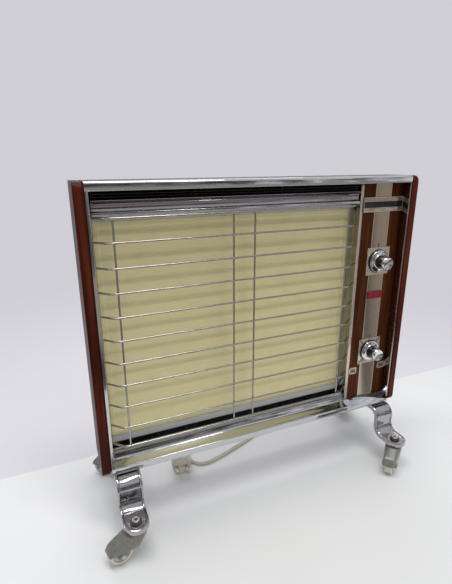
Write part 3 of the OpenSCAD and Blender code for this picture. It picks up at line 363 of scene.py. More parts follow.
WHEEL_DUST, LEAD_DUST = (0.2, 0.18, 0.16), (0.3, 0.26, 0.2)
FINISH |= {
    "grip_black": moulded("grip_black", (0.008, 0.008, 0.009), 0.12, 0.3, 0.06),
    "inlay_black": moulded("inlay_black", (0.006, 0.006, 0.007), 0.2, 0.34, 0.04),
    "red_lens": moulded("red_lens", (0.21, 0.006, 0.018), 0.25, 0.36, 0.03),
    "lamp_body": moulded("lamp_body", (0.7, 0.66, 0.6), 0.3, 0.5),
    "switch_black": moulded("switch_black", (0.02, 0.02, 0.022), 0.4, 0.6),
    "ceramic": moulded("ceramic", (0.6, 0.56, 0.46), 0.45, 0.65),
    "terminal_plastic": moulded("terminal_plastic", (0.7, 0.67, 0.58), 0.3, 0.5),
    "wire_insulation": moulded("wire_insulation", (0.45, 0.1, 0.07), 0.35, 0.5),
    "fork_plastic": moulded("fork_grey", (0.15, 0.147, 0.132), 0.2, 0.36, Subsurface_Weight=0.15),
    "wheel_plastic": moulded(
        "wheel_nylon", (0.50, 0.485, 0.44), 0.2, 0.4, 0.3, WHEEL_DUST, Subsurface_Weight=0.2
    ),
    "lead_plastic": moulded("lead_vinyl", (0.46, 0.435, 0.37), 0.36, 0.52, 0.35, LEAD_DUST),
    # Painted shade: the fibre board is nearly black, so the gap round the panel shows dark.
    "fibre_board": moulded("fibre_board", (0.03, 0.03, 0.032), 0.7, 0.9, peel=0.0003),
}
INK_BLACK = moulded("ink_black", (0.006, 0.006, 0.006), 0.6, 0.7, 0.03)

# %% [markdown]
# Every solid of the frame gets one of these finishes first, by the material slot that the record gives it.
# A piece modelled later replaces its solid, and the solids deep inside keep the finish set here.

# %% Dress the solids
SLOT_OF = {part["node"]: part["material_slot"] for part in frame["record"]["subparts"]}
for name, solid in NODES.items():
    solid.data.materials.clear()
    solid.data.materials.append(FINISH[SLOT_OF[name]])
print("finishes:", len(FINISH))

# %% [markdown]
# ## Modelling by hand
# Sheet metal is easiest to draw as a line, its cross-section, which is then pulled into a surface and given a
# thickness. The line starts as one corner: a tiny plane whose corners are merged. Extruding that point draws a
# straight stretch, and spinning it round a centre draws an arc. The spin operator turns against the right-hand
# rule, so its angle gets a minus sign. Everything is deselected first, since an operator works on all that is
# selected.

# %% Drawing helpers
MERGE_REACH = 0.00001


def idle():
    """Back to object mode with nothing selected."""
    if bpy.context.object and bpy.context.object.mode != "OBJECT":
        bpy.ops.object.mode_set(mode="OBJECT")
    bpy.ops.object.select_all(action="DESELECT")


def edit(obj, mode="EDIT"):
    """Makes obj the only selected object and changes the mode."""
    idle()
    obj.select_set(True)
    bpy.context.view_layer.objects.active = obj
    bpy.ops.object.mode_set(mode=mode)


def take_all():
    """Selects the whole mesh in edit mode."""
    bpy.ops.mesh.select_all(action="SELECT")


def merge(reach=MERGE_REACH):
    """Merges points that lie on each other."""
    take_all()
    bpy.ops.mesh.remove_doubles(threshold=reach)


def settle(obj):
    """Puts an object's place, turn and scale into its mesh."""
    edit(obj, "OBJECT")
    bpy.ops.object.transform_apply(location=True, rotation=True, scale=True)


def named(name):
    """The object that an operator has just made, with its name."""
    obj = bpy.context.object
    obj.name = obj.data.name = name
    return obj


def pull(step):
    """Extrudes what is selected by a step."""
    bpy.ops.mesh.extrude_region_move(TRANSFORM_OT_translate={"value": step})


def draw(name, route):
    """Draws a line. Each stop is a place, or ("arc", centre, axis, angle, steps) from where the line ends."""
    here = route[0]
    idle()
    bpy.ops.mesh.primitive_plane_add(size=0.001, location=here)
    obj = named(name)
    settle(obj)
    edit(obj)
    bpy.ops.mesh.select_mode(type="VERT")
    take_all()
    bpy.ops.mesh.merge(type="CENTER")
    for stop in route[1:]:
        if stop[0] == "arc":
            centre, axis, angle, steps = stop[1], stop[2], radians(stop[3]), stop[4]
            bpy.ops.mesh.spin(steps=steps, angle=-angle, center=centre, axis=axis)
            here = centre + Matrix.Rotation(angle, 3, axis) @ (here - centre)
        else:
            pull(stop - here)
            here = stop
    return obj


# %% [markdown]
# An open sheet has no inside, so its faces are turned by hand before it gets a thickness. Modifiers do the
# rest: Solidify makes the wall and Bevel rounds the sharp edges, and both are applied at once.

# %% Thickness and edges
def face_towards(obj, out, nearest):
    """Turns an open sheet so that its face nearest to a place looks along out."""
    take_all()
    bpy.ops.mesh.normals_make_consistent(inside=False)
    bpy.ops.object.mode_set(mode="OBJECT")
    face = min(obj.data.polygons, key=lambda f: (f.center - nearest).length)
    flip = face.normal.dot(out) < 0
    bpy.ops.object.mode_set(mode="EDIT")
    if flip:
        take_all()
        bpy.ops.mesh.flip_normals()


def modifier(obj, kind, **settings):
    """Adds one modifier and applies it."""
    edit(obj, "OBJECT")
    made = obj.modifiers.new(kind.lower(), kind)
    for key, value in settings.items():
        setattr(made, key, value)
    bpy.ops.object.modifier_apply(modifier=made.name)


def thicken(obj, thickness):
    """Gives a sheet its thickness, inwards from its faces."""
    modifier(obj, "SOLIDIFY", thickness=thickness * MM, offset=-1, use_even_offset=True)


def soften(obj, width, segments=2, angle=40):
    """Rounds the edges that are sharper than an angle."""
    size = {"width": width * MM, "segments": segments, "angle_limit": radians(angle)}
    modifier(obj, "BEVEL", limit_method="ANGLE", harden_normals=False, miter_outer="MITER_ARC", **size)


# %% [markdown]
# Whole pieces come from three more helpers: a block between two corners, a copy of a solid with its triangles
# merged and its edges eased, and several parts joined into one. The last helper hands a finished piece over:
# it gets its finish, rides on its body and hides the solids that it stands for.

# %% Blocks, copies and handing over
def slab(name, low, high):
    """A block between two places in the casing, left in object mode."""
    idle()
    low, high = at(*low), at(*high)
    bpy.ops.mesh.primitive_cube_add(size=1, location=(low + high) / 2)
    obj = named(name)
    obj.scale = high - low
    settle(obj)
    return obj


def copy_of(obj, name):
    """A free copy with its own mesh."""
    idle()
    twin = obj.copy()
    twin.data = obj.data.copy()
    twin.parent = None
    for key in list(twin.keys()):
        del twin[key]
    twin.name = twin.data.name = name
    bpy.context.scene.collection.objects.link(twin)
    return twin


def refined(name, node_name, width, segments=2, angle=35):
    """A copy of a CAD solid with its loose triangles merged and its edges rounded."""
    obj = copy_of(NODES[node_name], name)
    edit(obj)
    merge(MERGE_REACH / 2)
    bpy.ops.mesh.dissolve_limited(angle_limit=radians(1))
    soften(obj, width, segments, angle)
    return obj


def join(name, *parts):
    """Joins pieces that are one part on the real object."""
    idle()
    for part in parts:
        part.select_set(True)
    bpy.context.view_layer.objects.active = parts[0]
    bpy.ops.object.join()
    return named(name)


def hand_over(obj, *nodes, body="heater", finish=None, smooth=35):
    """Shades a finished piece and dresses it, usually as the solids are that it stands for."""
    edit(obj, "OBJECT")
    bpy.ops.object.shade_smooth_by_angle(angle=radians(smooth))
    obj.data.materials.clear()
    obj.data.materials.append(FINISH[SLOT_OF[nodes[0]]] if finish is None else finish)
    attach(obj, body)
    if nodes:
        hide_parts(*nodes)
    idle()
    return obj


# %% [markdown]
# ## The mains lead
# The lead comes first, because its length and its coil decide how far the model spreads. It leaves the gland
# at the back, drops to the floor, wanders forward under the casing to where it shows beside the plug, turns
# back, and is wound up behind the casing, two layers high. It is one curve: the free run, the coil and the last
# stretch to the plug, through the same points as the solids. A point without a height lies on the floor.

# %% Lead
LEAD_D = 7.0
FREE_RUN = [
    (200, 76, 138), (200, 92, 138), (200, 108, 136), (200, 123, 129), (199, 136, 117), (198, 145, 101),
    (196, 151, 83), (194, 154, 65), (191, 156, 47), (187, 158, 30), (179, 160, 15), (165, 160, 6),
    (148, 157), (130, 151), (112, 143), (94, 134), (77, 124), (60, 113), (42, 103), (24, 95), (6, 88),
    (-13, 81), (-32, 74), (-49, 68), (-65, 63), (-80, 59), (-96, 57), (-110, 61), (-120, 71), (-124, 85),
    (-121, 99), (-112, 112), (-98, 122), (-82, 128), (-64, 130), (-45, 130), (-26, 128), (-8, 125), (8, 124),
]
TO_PLUG = [
    (14, 220, 11), (-2, 220, 9), (-18, 219, 5.5), (-35, 217), (-53, 214), (-71, 210), (-88, 205),
    (-104, 197), (-117, 186, 4), (-127, 173, 6), (-133, 158, 10), (-136, 144, 14.5), (-138, 131, 18.5),
    (-139.6, 119, 19.5), (-141, 111, 19.5),
]
COIL_MIDDLE = (30, 172)
COIL_R = 48
COIL_TURNS = 4.5
LAYER = 7.5
COIL_STEPS = 16


def coil_point(t):
    """Turn t of the coil: it winds in on the floor, climbs where it reverses, and winds out again."""
    middle = COIL_TURNS / 2
    radius = COIL_R - LAYER * (middle - abs(t - middle))
    rise = min(max((t - middle + 0.25) / 0.5, 0), 1)
    angle = 2 * pi * t - pi / 2
    x, y = COIL_MIDDLE
    return x + radius * cos(angle), y + radius * sin(angle), LEAD_D / 2 + LAYER * rise


coil = [coil_point(k / COIL_STEPS) for k in range(int(COIL_STEPS * COIL_TURNS) + 1)]
lead_route = [Vector((*p, LEAD_D / 2)[:3]) * MM for p in FREE_RUN + coil + TO_PLUG]
idle()
bpy.ops.curve.primitive_bezier_curve_add(location=(0, 0, 0))
lead = named("mains_lead")
spline = lead.data.splines[0]
spline.bezier_points.add(len(lead_route) - 2)
for knot, place in zip(spline.bezier_points, lead_route):
    knot.co = place
    knot.handle_left_type = knot.handle_right_type = "AUTO"
lead.data.bevel_depth = LEAD_D / 2 * MM
lead.data.bevel_resolution = 4
lead.data.resolution_u = 3
lead.data.use_fill_caps = True
lead.data.materials.append(FINISH["lead_plastic"])
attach(lead, "heater")
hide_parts("cord_run", "cord_coil")

# %% [markdown]
# The lead is about two metres long, of which the photograph shows the first curves and the plug. It is wound
# up behind the casing, where the casing hides it. The plug, its pins and the tie round the coil go with it; the
# tie and the plug are modelled first.

# %% Turned pieces
def lathe(name, centre, axis, profile, steps):
    """Turns a profile of (radius, height) in millimetres round an axis through a place."""
    axis = Vector(axis).normalized()
    out = axis.orthogonal().normalized()
    centre = Vector(centre)
    obj = draw(name, [centre + (out * r + axis * h) * MM for r, h in profile])
    take_all()
    bpy.ops.mesh.spin(steps=steps, angle=2 * pi, center=centre, axis=axis)
    merge()
    bpy.ops.mesh.normals_make_consistent(inside=False)
    return obj


def ring(name, centre, axis, profile, steps):
    """The same for a profile that closes on itself, such as a ring's."""
    return lathe(name, centre, axis, [*profile, profile[0]], steps)


def ribs(count, start, pitch, taper, crest, groove):
    """Soft ribs along a sleeve, each a little thinner than the last."""
    profile = []
    for rib in range(count):
        foot, size = start + rib * pitch, 7.4 - rib * taper
        profile += [(size, foot), (size, foot + crest)]
        profile += [(size - groove, foot + crest + 0.5), (size - groove, foot + pitch - 0.5)]
    return profile


PLUG_TURN = radians(80)
PLUG_LENGTH = 62
PLUG_WAY = Vector((cos(PLUG_TURN), sin(PLUG_TURN), 0))
PLUG_PROFILE = [
    (0, 0), (15.6, 0), (15.6, -0.6), (18.2, -0.6), (19.2, 0.2), (19.5, 1.2), (19.5, 19), (19.0, 21.5),
    (16.8, 24.6), (14.6, 28), (12.2, 32), (10.2, 36.2), (9.0, 38.5), (8.6, 40), (8.2, 42),
    *ribs(5, 43, 3.6, 0.55, 2.0, 1.3), (4.2, PLUG_LENGTH), (0, PLUG_LENGTH),
]
plug = lathe("plug_body", lead_route[-1] - PLUG_WAY * PLUG_LENGTH * MM, PLUG_WAY, PLUG_PROFILE, 56)
soften(plug, 0.35, 2, 30)
hand_over(plug, "cord_plug")
pins = hand_over(refined("plug_pin_pair", "plug_pins", 0.3), "plug_pins")

# %% Tie round the coil
TIE_MIDDLE = Vector((COIL_MIDDLE[0] + COIL_R - LAYER * 1.1, COIL_MIDDLE[1], 8.05)) * MM
TIE_PROFILE = [(15.0, -2.2), (15.8, -1.8), (16.0, 0), (15.8, 1.8), (15.0, 2.2), (14.8, 0)]
tie = ring("coil_tie", TIE_MIDDLE, BACK, TIE_PROFILE, 32)
take_all()
bpy.ops.transform.resize(value=(0.94, 1, 0.5), center_override=TIE_MIDDLE)
hand_over(tie, finish=FINISH["grip_black"])

# %% [markdown]
# The gland is the moulded sleeve that keeps the lead from kinking where it leaves the back. It is a turned
# piece too: a collar on the sheet, then a tapering sleeve cut into soft ribs.

# %% Cord gland
GLAND = Vector((200, 43, 138)) * MM
GLAND_PROFILE = [
    (0, -10), (6.9, -10), (6.9, 0), (9.6, 0), (10.4, 0.6), (10.4, 2.6), (9.6, 3.2), (7.6, 3.4),
    *ribs(7, 4.4, 4.0, 0.36, 2.3, 1.2), (4.3, 33), (0, 33),
]
gland = lathe("lead_gland", GLAND, BACK, GLAND_PROFILE, 40)
soften(gland, 0.3, 2, 30)
hand_over(gland, "cord_gland")

# %% [markdown]
# ## Picking points, edges and faces
# An edit by hand starts with a selection. The first helper selects in code, by a test on the place of a point,
# an edge or a face, all in casing millimetres. Two more do what many plates need: round the corners, and inset
# a face and press it in or out. The last gives some of the faces a second finish.

# %% Picking helpers
def pick(obj, kind, test):
    """Selects what passes the test: points by place, edges by both ends, faces by middle and normal."""
    edit(obj)
    bpy.ops.mesh.select_mode(type=kind)
    bpy.ops.mesh.select_all(action="DESELECT")
    bpy.ops.object.mode_set(mode="OBJECT")
    mesh = obj.data
    places = [in_casing(v.co) for v in mesh.vertices]
    if kind == "VERT":
        for v in mesh.vertices:
            v.select = test(places[v.index])
    elif kind == "EDGE":
        for e in mesh.edges:
            e.select = test(*[places[k] for k in e.vertices])
    else:
        for f in mesh.polygons:
            f.select = test(in_casing(f.center), f.normal)
    bpy.ops.object.mode_set(mode="EDIT")


def near(a, b):
    """True where two measures agree."""
    return abs(a - b) < 0.05


def round_corners(obj, width, segments=4):
    """Bevels the edges that run from front to back."""
    pick(obj, "EDGE", lambda a, b: near(a.x, b.x) and near(a.z, b.z))
    bpy.ops.mesh.bevel(offset=width * MM, segments=segments, affect="EDGES")


def press(obj, way, borders, step):
    """Insets the face that looks along a way, once for each border, and moves it by a step along that way."""
    pick(obj, "FACE", lambda middle, normal: normal.dot(way) > 0.9)
    for border in borders:
        bpy.ops.mesh.inset(thickness=border * MM)
    pull(way * step * MM)


def accent(obj, finish, test):
    """A second finish on the faces that pass the test."""
    obj.data.materials.append(finish)
    index = len(obj.data.materials) - 1
    for face in obj.data.polygons:
        if test(in_casing(face.center), face.normal):
            face.material_index = index


# %% [markdown]
# ## Wooden sides
# Each side is a laminated board whose two front corners are rounded in side view. Its inner face has a raised
# field that meets the chrome frame, so a narrow shadow groove runs round it. The rounding is a bevel on two
# edges, and the field is an inset face pushed out.

# %% Side boards
BOARD = 13.5
GROOVE = 2.5
for side, low_x, inwards in (("left", -GROOVE - BOARD, RIGHT), ("right", WIDTH + GROOVE, LEFT)):
    board = slab(side + "_side_board", (low_x, 0, 0), (low_x + BOARD, DEPTH, HEIGHT))
    pick(board, "EDGE", lambda a, b: near(a.y, 0) and near(b.y, 0) and near(a.z, b.z))
    bpy.ops.mesh.bevel(offset=12 * MM, segments=9, affect="EDGES")
    press(board, inwards, [3], GROOVE)
    soften(board, 0.9, 3, 30)
    hand_over(board, "side_panel_" + side)
    print(board.name, [round(v / MM, 1) for v in board.dimensions])

# %% [markdown]
# ## Chromed frame
# The frame is bent sheet of one cross-section, so a helper draws that section flat, pulls it along the frame
# and gives it its wall. In a section along X the places are (y, z), and in one along Z they are (x, y). Every
# fold of real sheet has a small radius, and the bright line along it is what makes chrome look like chrome.

# %% Sheet helper
def section(axis, level, route):
    """The stops of a flat section that lies across an axis, at a level on it."""

    def spot(flat):
        return at(level, *flat) if axis == RIGHT else at(*flat, level)

    return [("arc", spot(s[1]), axis, *s[2:]) if s[0] == "arc" else spot(s) for s in route]


def sheet_along(name, axis, low, high, route, thickness, out, edge=0.3):
    """Bent sheet along an axis from low to high; out is where the first stretch of its section faces."""
    stops = section(axis, low, route)
    step = axis * (high - low) * MM
    obj = draw(name, stops)
    take_all()
    pull(step)
    merge()
    face_towards(obj, out, stops[0] + step / 2)
    thicken(obj, thickness)
    soften(obj, edge, 2, 50)
    return obj


# %% Top rail
RAIL_WALL = 1.5
top_route = [(8, 472), (1.6, 472), ("arc", (1.6, 473.6), -90, 6), (0, 481.5)]
top_route += [("arc", (4, 481.5), -90, 10), (22, 485.5)]
hand_over(sheet_along("chrome_top_rail", RIGHT, 0, WIDTH, top_route, RAIL_WALL, DOWN), "top_rail")

# %% [markdown]
# The bottom rail has three zones: a flat rim in front, then a deep hollow sill under the radiant panel that
# rises slowly, mirrors the panel upside down and turns up at the back, and a flat ledge under the controls.
# The hollow is three arcs. The sill ends in a small web where the ledge starts.

# %% Bottom rail
HOLLOW = ((1.5, 52.5), (15.54, 20.42), (-11.6, 37.38))
LEDGE_X = 491.8


def hollow(angles, steps):
    """The three arcs of the hollow, each with its angle."""
    return [("arc", centre, angle, steps) for centre, angle in zip(HOLLOW, angles)]


sill_route = [(0, 0), (0, 11), ("arc", (1.5, 11), -80, 5), *hollow((24, 34.4, 22), 10)]
sill_route += [(26.0, 33.0), (30.6, 32.4)]
sill = sheet_along("chrome_sill", RIGHT, 0, LEDGE_X, sill_route, RAIL_WALL, FRONT)
ledge_route = [(0, 0), (0, 1.6), ("arc", (1.5, 1.6), -44, 4), (15.4, 18.2), (19.3, 18.8)]
ledge = sheet_along("chrome_ledge", RIGHT, LEDGE_X, WIDTH, ledge_route, RAIL_WALL, FRONT)
web_route = [(0.9, 3), (0.4, 11), (3, 12.6), *hollow((21.8, 34, 21.5), 8)]
web_route += [(26.0, 32.6), (30.6, 32.3), (30.6, 13.8)]
web_stops = section(RIGHT, LEDGE_X - 0.8, web_route)
web = draw("chrome_web", web_stops)
take_all()
bpy.ops.mesh.edge_face_add()
face_towards(web, RIGHT, web_stops[0])
modifier(web, "SOLIDIFY", thickness=RAIL_WALL * MM, offset=0)
soften(web, 0.25, 2, 50)
hand_over(join("chrome_bottom_rail", sill, ledge, web), "bottom_rail")

# %% [markdown]
# The uprights are narrow lips in front with deep walls behind them. The left wall leans inwards, so it shows
# as a tall mirror beside the cream panel. The right one and the divider stand beside darker things, and their
# walls get the darker chrome as painted shade, as does the front of the right lip.

# %% Uprights
SIDE_WALL = 1.2
UPRIGHT_TOP = 472
lip_route = [(0.2, 3), (0.2, 0.2), (4.6, 0.2), (9.8, 45)]
left_lip = sheet_along("chrome_left_upright", UP, 12.6, UPRIGHT_TOP, lip_route, RAIL_WALL, LEFT)
left_wall = sheet_along("chrome_left_wall", UP, 14, UPRIGHT_TOP, [(8.4, 43), (8.4, 70.4)], SIDE_WALL, RIGHT)
hand_over(join("chrome_left_upright", left_lip, left_wall), "left_upright")

LIP_END = WIDTH - 0.9
right_route = [(WIDTH - 3.6, 0.2), (LIP_END, 0.2), ("arc", (LIP_END, 0.9), 90, 4), (WIDTH - 0.2, 70.4)]
right_upright = sheet_along("chrome_right_upright", UP, 12.6, UPRIGHT_TOP, right_route, SIDE_WALL, FRONT)
hand_over(right_upright, "right_upright")
# Painted shade: the inner wall and the front face of the lip get darker chrome.
accent(right_upright, DARK_CHROME_PAINTED_SHADE, lambda middle, normal: normal.x < -0.5 and middle.y > 1.5)
accent(right_upright, WALL_CHROME_PAINTED_SHADE, lambda middle, normal: normal.y < -0.5 and middle.y < 1.5)

divider_route = [
    (503.2, 20), (497.6, 20), ("arc", (497.6, 21.2), -80, 4), (495.4, 27.5), (496.2, 29), (494.0, 35.5),
    (494.8, 37), (492.2, 45), (492.2, 69),
]
divider = sheet_along("chrome_divider", UP, 16, UPRIGHT_TOP, divider_route, 1.0, FRONT, 0.2)
# Painted shade: the divider's wall is darker chrome; its front face gets the brighter border finish with its
# painted highlight.
hand_over(divider, "divider_wall", finish=WALL_CHROME_PAINTED_SHADE)
accent(divider, CHAMPAGNE_POLISH_AND_PAINTED_HIGHLIGHT, lambda middle, normal: normal.y < -0.6 and middle.y < 22)

# %% [markdown]
# ## Air outlet
# Above the panel, warm air leaves between black louvres. In front of them lies a hollow chromed strip, which
# mirrors the dark opening and the room in one thin curve and is darkened as painted shade, and a bright bezel
# bar closes it below.

# %% Outlet
reflector_route = [(17.0, 440.5), ("arc", (10.386, 448), 118, 20)]
reflector = sheet_along("chrome_reflector", RIGHT, 8.2, 491.5, reflector_route, SIDE_WALL, FRONT, 0.2)
# Painted shade: the hollow strip is the darker chrome.
hand_over(reflector, "reflector_strip", finish=DARK_CHROME_PAINTED_SHADE)
bezel_route = [(13, 435.8), (8.8, 435.8), ("arc", (8.8, 436.6), -90, 4), (8, 440.4)]
bezel_route += [("arc", (8.8, 440.4), -90, 4), (18, 441.2)]
hand_over(sheet_along("chrome_bezel", RIGHT, 7.6, 485, bezel_route, 1.0, DOWN, 0.2), "bezel_bar")

LOUVRE_LOW, LOUVRE_HIGH = [corner.x for corner in casing_box("outlet_louvres")]
SLAT_PITCH = 4.13
RIB = 1.2
box_route = [(18, 439.4), (44.8, 439.4), (44.8, 471.9), (8.5, 471.9)]
louvres = [sheet_along("outlet_box", RIGHT, LOUVRE_LOW, LOUVRE_HIGH, box_route, 1.0, UP, 0.2)]
for k in range(3):
    z = 455.5 + SLAT_PITCH * (k + 1)
    slat_route = [(23, z - 1.2), (27, z), (43.6, z)]
    louvres.append(sheet_along("outlet_slat", RIGHT, LOUVRE_LOW, LOUVRE_HIGH, slat_route, 0.8, UP, 0.15))
for k in range(4):
    x = LOUVRE_LOW + (LOUVRE_HIGH - LOUVRE_LOW - RIB) * k / 3
    louvres.append(slab("outlet_rib", (x, 27, 440), (x + RIB, 44, 471)))
hand_over(join("outlet_louvre_box", *louvres), "outlet_louvres")
print("outlet", round(LOUVRE_LOW), round(LOUVRE_HIGH))

# %% [markdown]
# ## Radiant panel
# The panel is a shallow enamelled pan with a rolled edge. A face is inset twice and pressed back a little, so
# that its border catches a thin line of light. The dark soft bands on it in the photograph aren't paint: they
# are the shadows of the guard's wires.

# %% Panel
panel_low, panel_high = casing_box("radiant_panel")
panel = slab("enamelled_panel", panel_low, panel_high)
press(panel, FRONT, [6, 2.5], -0.9)
press(panel, BACK, [1.2], -6.5)
soften(panel, 1.1, 3, 20)
hand_over(panel, "radiant_panel")

low_route = [(44, 34), (44, 45.2), ("arc", (45, 45.2), -90, 4), (53.8, 46.2)]
high_route = [(53.8, 424.3), (45, 424.3), ("arc", (45, 425.3), -90, 4), (44, 432.4)]
strips = [
    sheet_along("grey_strip", RIGHT, panel_low.x, panel_high.x, route, 1.1, out, 0.2)
    for route, out in ((low_route, FRONT), (high_route, DOWN))
]
hand_over(join("grey_strips", *strips), "panel_strips")

# %% [markdown]
# ## Wire guard
# A wire is a drawn line turned into a curve with a round section and back into a mesh. Its bends are rounded
# first, by a bevel on the corner points. The cross wires lie in front of the four uprights, to which they are
# spot welded, and both their ends bend back to the walls.

# %% Wire helper
def wire(name, route, diameter):
    """A round wire along places in the casing, with rounded bends."""
    obj = draw(name, [at(*p) for p in route])
    if len(route) > 2:
        pick(obj, "VERT", lambda p: any((p - Vector(q)).length < 0.05 for q in route[1:-1]))
        bpy.ops.mesh.bevel(offset=5 * MM, segments=5, affect="VERTICES")
    edit(obj, "OBJECT")
    bpy.ops.object.convert(target="CURVE")
    obj = bpy.context.object
    obj.data.bevel_depth = diameter / 2 * MM
    obj.data.bevel_resolution = 3
    obj.data.use_fill_caps = True
    bpy.ops.object.convert(target="MESH")
    obj = bpy.context.object
    edit(obj)
    take_all()
    bpy.ops.mesh.normals_make_consistent(inside=False)
    return obj


# %% Guard
THIN_WIRE, ROD = 3.3, 4
LOW_ROD, HIGH_ROD = 48, 433
GUARD_PITCH = 39.05
guard_wires = []
for z in (LOW_ROD, *[84.5 + GUARD_PITCH * k for k in range(9)], HIGH_ROD):
    route = [(9.0, 22, z), (26.5, 3.6, z), (470.5, 3.6, z), (494.4, 22, z)]
    guard_wires.append(wire("cross_wire", route, ROD if z in (LOW_ROD, HIGH_ROD) else THIN_WIRE))
for x in (35.5, 229, 268, 461.5):
    guard_wires.append(wire("upright_wire", [(x, 6.4, LOW_ROD - 0.8), (x, 6.4, HIGH_ROD + 0.8)], THIN_WIRE))
guard = hand_over(join("wire_guard_grid", *guard_wires), "wire_guard", smooth=50)
print("guard triangles", sum(len(f.vertices) - 2 for f in guard.data.polygons))

# %% [markdown]
# ## Control side
# The fascia is a wood laminate board with holes behind the knobs and the lens, so it is a copy of its solid
# with eased edges. Down its middle runs a brushed stripe. The stripe, the plates and the labels are thin metal
# with a folded border: each front face is inset and pressed back, and the border keeps a brighter finish, as
# the light edge lines in the photograph do; it is partly a polished edge and partly a painted highlight.

# %% Plates with a border
CONTROL_X = 550.5


def plate(name, low, high, border, depth, corner=0.0, edge=0.25, segments=2, angle=30):
    """A thin plate facing the front, with a raised border."""
    obj = slab(name, low, high)
    if corner:
        round_corners(obj, corner)
    press(obj, FRONT, [border], -depth)
    soften(obj, edge, segments, angle)
    return obj


def dress_border(obj, low, high, border, level):
    """The raised border of a plate gets the brighter finish: partly polish, partly painted highlight."""

    def on_border(middle, normal):
        across = min(middle.x - low[0], high[0] - middle.x)
        upright = min(middle.z - low[2], high[2] - middle.z)
        return min(across, upright) < border and middle.y < level

    accent(obj, CHAMPAGNE_POLISH_AND_PAINTED_HIGHLIGHT, on_border)


# %% Fascia, stripe, band and labels
hand_over(refined("wood_fascia", "control_fascia", 0.5), "control_fascia")
stripe_box = (CONTROL_X - 19.5, 19.2, 16.2), (CONTROL_X + 19.5, 20, 472)
stripe = hand_over(plate("brushed_stripe", *stripe_box, 1.5, 0.3, edge=0.15), "fascia_stripe")
dress_border(stripe, *stripe_box, 1.5, 19.45)
band_box = (503.5, 17.7, 418), (598.5, 19.2, 446)
band = hand_over(plate("bare_band", *band_box, 1.6, 0.35), "name_band")
dress_border(band, *band_box, 1.6, 18.0)
inlay = plate("band_dark_inlay", (504.9, 17.3, 426.6), (597.1, 18.2, 437.4), 0.7, 0.25, 0.6, 0.12)
hand_over(inlay, "band_inlay")

label_boxes = [((x, 19.1, 75.5), (x + 19, 20, 90.5)) for x in (503.7, 579.3)]
labels = [plate("label_plate", *box, 3.2, 0.3, 0.8, 0.15) for box in label_boxes]
label_pair = hand_over(join("label_plate_pair", *labels), "label_plates", finish=CHAMPAGNE_POLISH_AND_PAINTED_HIGHLIGHT)
accent(label_pair, CHAMPAGNE_SHADE, lambda middle, normal: normal.y < -0.9 and middle.y > 19.3)

# %% [markdown]
# ## Dials
# Each knob stands on a square plate. Thin black ticks are printed round the lower one, also across the plate's
# edge onto the wood, and one above the upper one. A tick is a hair-thin bar that is turned round the knob's
# axis and then settled into its mesh.

# %% Dial plates
SELECTOR_Z, THERMOSTAT_Z = 320.0, 125.0
DIAL_HALF = 28
DIAL_BORDER = 1.3


def dial_box(z):
    """The lowest and highest corner of the plate behind a knob."""
    return (CONTROL_X - DIAL_HALF, 17.7, z - DIAL_HALF), (CONTROL_X + DIAL_HALF, 19.2, z + DIAL_HALF)


plates = [plate("dial_plate", *dial_box(z), DIAL_BORDER, 0.2, 1.0) for z in (SELECTOR_Z, THERMOSTAT_Z)]
dial_pair = hand_over(join("dial_plate_pair", *plates), "dial_plates")
for z in (SELECTOR_Z, THERMOSTAT_Z):
    dress_border(dial_pair, *dial_box(z), DIAL_BORDER, 17.95)

# %% Ticks
ON_PLATE, ON_STRIPE, ON_WOOD = 17.9, 19.5, 20.0


def tick(z, angle, start, end, level):
    """A printed tick from start to end along a ray from a dial's middle, on a surface at depth level."""
    bar = slab("tick", (CONTROL_X - 0.8, level - 0.16, z + start), (CONTROL_X + 0.8, level + 0.2, z + end))
    round_corners(bar, 0.3, 3)
    take_all()
    bpy.ops.transform.rotate(value=radians(angle), orient_axis="Y", center_override=at(CONTROL_X, level, z))
    idle()
    return bar


ticks = [tick(SELECTOR_Z, 0, 24.6, 28.2, ON_PLATE), tick(SELECTOR_Z, 0, 28.4, 37, ON_STRIPE)]
for angle in (-135, -90, -45, 0, 45, 90, 135):
    plate_end, start, end = (38.2, 40.5, 50) if angle % 90 else (28.2, 28.4, 36)
    ticks.append(tick(THERMOSTAT_Z, angle, 24.6, plate_end, ON_PLATE))
    ticks.append(tick(THERMOSTAT_Z, angle, start, end, ON_WOOD if angle else ON_STRIPE))
dial_ticks = hand_over(join("dial_ticks", *ticks), finish=INK_BLACK)

# %% [markdown]
# The red lens is a small moulded block with rounded corners. Its face is inset and pressed back, so that a
# frame stands round the field. It is made as the plates are, only thicker and rounder.

# %% Lens
lens_box = (CONTROL_X - 17.75, 15.6, 242.25), (CONTROL_X + 17.75, 19.3, 256.75)
hand_over(plate("pilot_lens", *lens_box, 1.5, 0.5, 1.4, 0.35, 3, 40), "indicator_lens", smooth=40)

# %% [markdown]
# ## Knobs
# A knob has a black foot, a dished chrome skirt with a bright rim, a black waist pinched in like a spool, and a
# bevelled chrome cap. Both black parts are one moulding and both chrome parts are pressed on it. They are
# turned pieces with their axis towards the front. The dark mark is a strip or a wedge of the skirt.

# %% Knobs
GRIP_PROFILE = [
    (0, 0), (23.4, 0), (23.9, 0.4), (24, 1.7), (23.5, 2.3), (12.4, 2.4), (12.0, 7.2), (11.5, 8.6),
    (10.9, 11.5), (10.6, 14.8), (10.9, 18.0), (11.6, 21.0), (12.3, 22.8), (0, 22.8),
]
SKIRT_PROFILE = [
    (12.5, 2.6), (21.6, 2.5), (22.4, 3.0), (22.6, 3.9), (22.3, 4.6), (21.6, 4.8), (20.9, 4.4), (20.0, 4.1),
    (17.2, 4.9), (14.6, 6.2), (14.2, 7.0), (13.6, 7.6), (12.9, 7.5), (12.5, 6.9),
]
CAP_PROFILE = [
    (0, 22.6), (12.2, 22.6), (13.1, 22.9), (13.5, 23.7), (13.5, 25.4), (13.3, 26.2), (11.6, 29.3),
    (11.1, 29.6), (10.6, 29.3), (1.2, 27.0), (0, 26.9),
]


